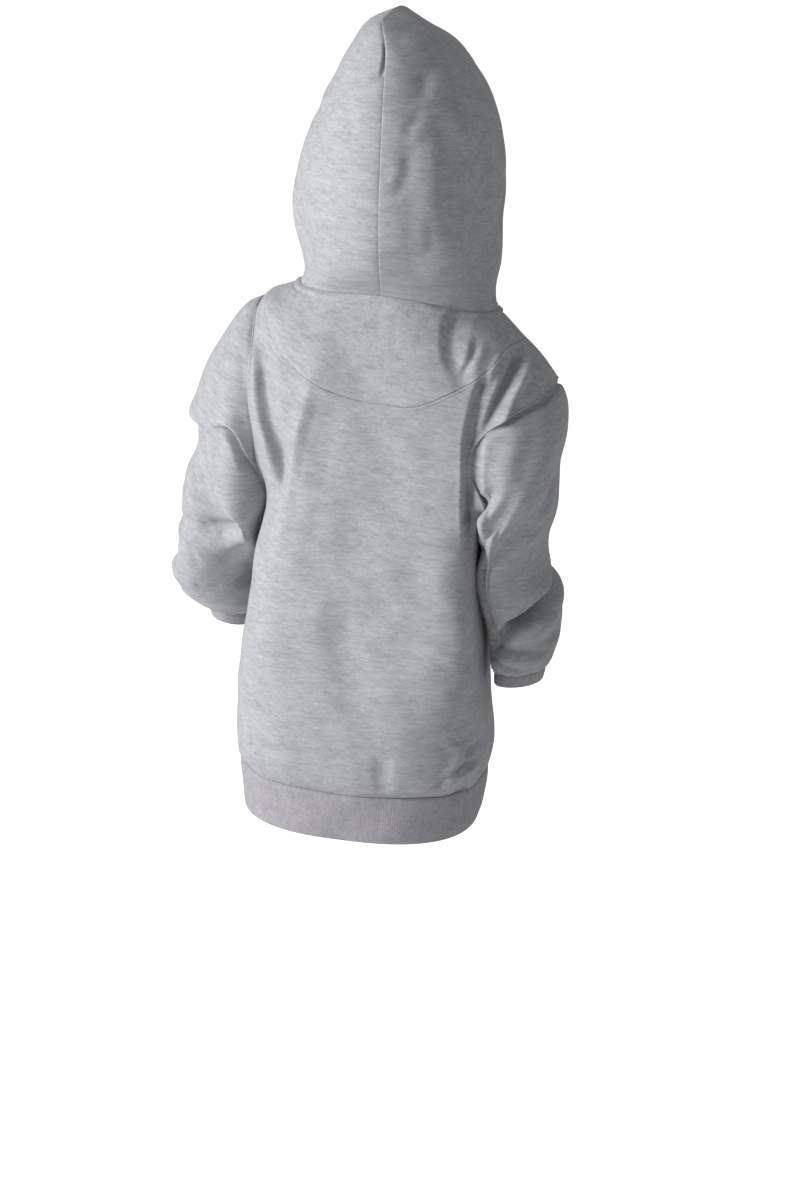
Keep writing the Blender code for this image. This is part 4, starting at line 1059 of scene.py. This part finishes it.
def gathers(cloth):
    """Small uneven puckers where the body and sleeves are drawn in to their ribbing."""
    if cloth.name not in GATHER_HEIGHTS:
        return 0
    draw = np.random.default_rng(WAVE_SEED + len(cloth.name))
    edge = "last" if "sleeve" in cloth.name else "first"
    distance = edge_distances(cloth.points, cloth.closed)[edge]
    u = cloth.grain[:, : cloth.points.shape[1], 0]
    total = np.zeros_like(distance)
    for _ in range(GATHER_WAVES):
        length = draw.uniform(*GATHER_LENGTHS)
        total += np.sin(2 * np.pi * u / length + draw.uniform(0, 2 * np.pi))
    near = (1 - smooth_step(distance / GATHER_REACH)) * smooth_step(distance / GATHER_START)
    return GATHER_HEIGHTS[cloth.name] * total / GATHER_WAVES * near


def dressed(cloth):
    """The cloth's outer and inner faces with all their detail."""
    points, steer = cloth.points, cloth.steer
    rise, rounding = seams_rise(cloth)
    shift = np.zeros_like(points)
    if cloth.rib:
        ribs = np.cos(2 * np.pi * np.arange(points.shape[1]) / CELLS_A_RIB)
        last = edge_distances(points, True)["last"]
        rise = rise + RIB_HEIGHT * ribs * smooth_step(last / RIB_RISE)
        rise = rise + waves(points) * smooth_step(last / RIB_WAVE_RISE)
    else:
        rise = rise + waves(points) + gathers(cloth)
        for crease in (crease for crease in CREASES if crease.on in cloth.name):
            rise = rise + crease_rise(crease, points, steer)
        for overlap in (overlap for overlap in OVERLAPS if overlap.on in cloth.name):
            shift = shift + overlap_rise(overlap, points, steer)
    wall = RIB_CLOTH if cloth.rib else CLOTH
    base = points + steer * rise[..., None] + shift
    outer = base - steer * rounding[..., None]
    inner = base - steer * (wall - rounding * INNER_ROUNDING)[..., None]
    slant_inward(cloth, inner)
    for face in (outer, inner):
        for near, next_in in ((0, 1), (-1, -2)):
            face[near] += unit(face[next_in] - face[near]) * EDGE_INSET
        if not cloth.closed:
            for near, next_in in ((0, 1), (-1, -2)):
                face[:, near] += unit(face[:, next_in] - face[:, near]) * EDGE_INSET
    return outer, inner


def slant_inward(cloth, inner):
    """Slides the inner face along the cloth near its sewn edges, so that no light shows through a seam."""
    ways = {"first": (0, 1), "last": (0, -1), "left": (1, 1), "right": (1, -1)}
    gradients = [unit(np.gradient(cloth.points, axis=axis)) for axis in (0, 1)]
    for edge, distance, name, weight in seam_parts(cloth):
        axis, sign = ways[edge]
        share = (1 - smooth_step(distance / SLANT_REACH)) * weight
        inner += gradients[axis] * (sign * SLANTS.get(name, 0.0) * share)[..., None]


def corners(grid):
    """The four corners of each of a grid's cells, in order round the cell."""
    return grid[:-1, :-1], grid[:-1, 1:], grid[1:, 1:], grid[1:, :-1]


def shell_mesh(cloth, outer, inner):
    """A closed mesh of the outer face, the inner face and the rim between them, with the grain as UV map."""
    count = outer.shape[0] * outer.shape[1]
    index = looped(np.arange(count).reshape(outer.shape[:2]), cloth.closed)
    uv = cloth.grain
    faces = np.stack(corners(index), axis=-1).reshape(-1, 4)
    uv_faces = np.stack(corners(uv), axis=-2).reshape(-1, 4, 2)
    rims = [
        (index[0, 1:], index[0, :-1], uv[0, 1:], uv[0, :-1]),
        (index[-1, :-1], index[-1, 1:], uv[-1, :-1], uv[-1, 1:]),
    ]
    if not cloth.closed:
        rims.append((index[:-1, 0], index[1:, 0], uv[:-1, 0], uv[1:, 0]))
        rims.append((index[1:, -1], index[:-1, -1], uv[1:, -1], uv[:-1, -1]))
    rim_faces = np.concatenate([np.stack([a, b, b + count, a + count], axis=-1) for a, b, _, _ in rims])
    rim_uv = np.concatenate([np.stack([a, b, b, a], axis=-2) for _, _, a, b in rims])
    all_faces = np.concatenate([faces, faces[:, ::-1] + count, rim_faces])
    all_uv = np.concatenate([uv_faces, uv_faces[:, ::-1], rim_uv])
    if cloth.name in TURNED_IN:
        all_faces, all_uv = all_faces[:, ::-1], all_uv[:, ::-1]
    inside = np.zeros(len(all_faces), int)
    inside[len(faces) : 2 * len(faces)] = 1
    mesh = bpy.data.meshes.new(cloth.name + "_cloth")
    mesh.vertices.add(2 * count)
    mesh.vertices.foreach_set("co", np.concatenate([outer.ravel(), inner.ravel()]))
    mesh.loops.add(all_faces.size)
    mesh.loops.foreach_set("vertex_index", all_faces.ravel())
    mesh.polygons.add(len(all_faces))
    mesh.polygons.foreach_set("loop_start", np.arange(0, all_faces.size, 4))
    mesh.polygons.foreach_set("material_index", inside)
    mesh.uv_layers.new(name="grain").data.foreach_set("uv", all_uv.ravel())
    mesh.update(calc_edges=True)
    mesh.validate()
    mesh.shade_smooth()
    return mesh


def set_inputs(tree, node, inputs):
    """Gives each of a node's inputs, by name or number, a value or a link from a socket."""
    for key, value in inputs.items():
        if isinstance(value, bpy.types.NodeSocket):
            tree.links.new(value, node.inputs[key])
        else:
            node.inputs[key].default_value = value


def add_node(tree, kind, inputs, **settings):
    """A new shader node with those inputs and properties."""
    node = tree.nodes.new("ShaderNode" + kind)
    for key, value in settings.items():
        setattr(node, key, value)
    set_inputs(tree, node, inputs)
    return node


def add_object(name, data):
    """A new object in the scene."""
    made = bpy.data.objects.new(name, data)
    bpy.context.scene.collection.objects.link(made)
    return made


def cloth_material(name):
    """Heather knit: fibres in two tones drawn out along the courses, with a fine nap in its bump."""
    knit = KNITS[name]
    material = bpy.data.materials.new(name)
    material.use_nodes = True
    tree = material.node_tree
    grain = add_node(tree, "UVMap", {}, uv_map="grain").outputs[0]
    mixed = 0.0
    for tone in TONES:
        stretch = (1 / (knit.along * tone.along), 1 / (knit.across * tone.across), 1)
        scaled = add_node(tree, "VectorMath", {0: grain, 1: stretch}, operation="MULTIPLY").outputs[0]
        inputs = {"Vector": scaled, "Scale": 1.0, "Detail": tone.detail, "Roughness": FIBRE_ROUGHNESS}
        fibres = add_node(tree, "TexNoise", inputs).outputs["Fac"]
        terms = {0: fibres, 1: tone.weight, 2: mixed}
        mixed = add_node(tree, "Math", terms, operation="MULTIPLY_ADD").outputs[0]
    ramp = add_node(tree, "ValToRGB", {0: mixed})
    for element, position, colour in zip(ramp.color_ramp.elements, TONE_RANGE, (knit.dark, knit.light)):
        element.position = position
        element.color = (*colour, 1)
    raised = add_node(tree, "Bump", {"Strength": knit.bump, "Distance": BUMP_HEIGHT, "Height": mixed})
    looks = {"Base Color": ramp.outputs[0], "Normal": raised.outputs[0], "Sheen Weight": knit.sheen}
    set_inputs(tree, tree.nodes["Principled BSDF"], {**looks, **MATT})
    return material


def add_pieces():
    """The cloth of every piece, riding on the one body."""
    fleece, nap, rib = (cloth_material(name) for name in KNITS)
    for name, cloth in all_cloth().items():
        mesh = shell_mesh(cloth, *dressed(cloth))
        mesh.materials.append(rib if cloth.rib else fleece)
        mesh.materials.append(rib if cloth.rib else nap)
        piece = add_object(name + "_cloth", mesh)
        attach(piece, "root")
        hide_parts(name)


def add_camera():
    """The camera, which is turned first, then tipped down and rolled."""
    azimuth, pitch, roll, yaw = np.radians([CAMERA_AZIMUTH, CAMERA_PITCH, CAMERA_ROLL, CAMERA_YAW])
    away = np.array([np.sin(azimuth), -np.cos(azimuth)])
    turn = np.array([[np.cos(yaw), -np.sin(yaw)], [np.sin(yaw), np.cos(yaw)]])
    level = -turn @ away
    ahead = Vector((*(level * np.cos(pitch)), -np.sin(pitch)))
    level_right = ahead.cross(Vector((0, 0, 1))).normalized()
    level_up = level_right.cross(ahead)
    right = level_right * np.cos(roll) + level_up * np.sin(roll)
    up = level_up * np.cos(roll) - level_right * np.sin(roll)
    data = bpy.data.cameras.new("camera")
    data.lens = CAMERA_LENS
    camera = add_object("camera", data)
    turned = Matrix((right, up, -ahead)).transposed().to_4x4()
    place = Vector((*(away * CAMERA_DISTANCE), CAMERA_HEIGHT))
    camera.matrix_world = Matrix.Translation(place) @ turned
    bpy.context.scene.camera = camera


def add_lights():
    """The lamps, and a pale world around them."""
    for lamp in LAMPS:
        data = bpy.data.lights.new(lamp.name, "AREA")
        data.energy = lamp.power
        data.size = lamp.size
        light = add_object(lamp.name, data)
        light.location = lamp.place
        aim = Vector(lamp.target) - Vector(lamp.place)
        light.rotation_euler = aim.to_track_quat("-Z", "Y").to_euler()
    world = bpy.data.worlds.new("studio")
    world.use_nodes = True
    tree = world.node_tree
    strength = seen_share(tree, WORLD_STRENGTH, 1.0)
    set_inputs(tree, tree.nodes["Background"], {"Color": (1, 1, 1, 1), "Strength": strength})
    bpy.context.scene.world = world
    bpy.context.scene.view_settings.view_transform = "Standard"


def seen_share(tree, unseen, seen):
    """A value that is unseen as light on the cloth, and seen where the camera looks straight at a surface."""
    straight = add_node(tree, "LightPath", {}).outputs["Is Camera Ray"]
    share = add_node(tree, "MapRange", {"To Min": unseen, "To Max": seen, "Value": straight})
    return share.outputs["Result"]


def add_floor():
    """The plain pale floor."""
    mesh = bpy.data.meshes.new("floor")
    ends = [(-1, -1), (1, -1), (1, 1), (-1, 1)]
    mesh.from_pydata([(x * FLOOR_HALF, y * FLOOR_HALF, FLOOR_HEIGHT) for x, y in ends], [], [(0, 1, 2, 3)])
    material = bpy.data.materials.new("floor")
    material.use_nodes = True
    tree = material.node_tree
    looks = {"Base Color": FLOOR_COLOUR, "Roughness": 1.0, "Emission Color": (1, 1, 1, 1)}
    looks["Emission Strength"] = seen_share(tree, 0.0, FLOOR_GLOW)
    set_inputs(tree, tree.nodes["Principled BSDF"], looks)
    mesh.materials.append(material)
    floor = add_object("floor", mesh)


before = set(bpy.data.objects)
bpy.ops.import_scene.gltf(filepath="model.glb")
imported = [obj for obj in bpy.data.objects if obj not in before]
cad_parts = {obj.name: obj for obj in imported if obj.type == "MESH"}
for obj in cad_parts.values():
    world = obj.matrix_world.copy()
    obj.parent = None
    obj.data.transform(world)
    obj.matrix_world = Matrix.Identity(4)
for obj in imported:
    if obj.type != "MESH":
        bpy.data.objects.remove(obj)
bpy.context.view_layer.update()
add_camera()
add_lights()
add_floor()
add_pieces()
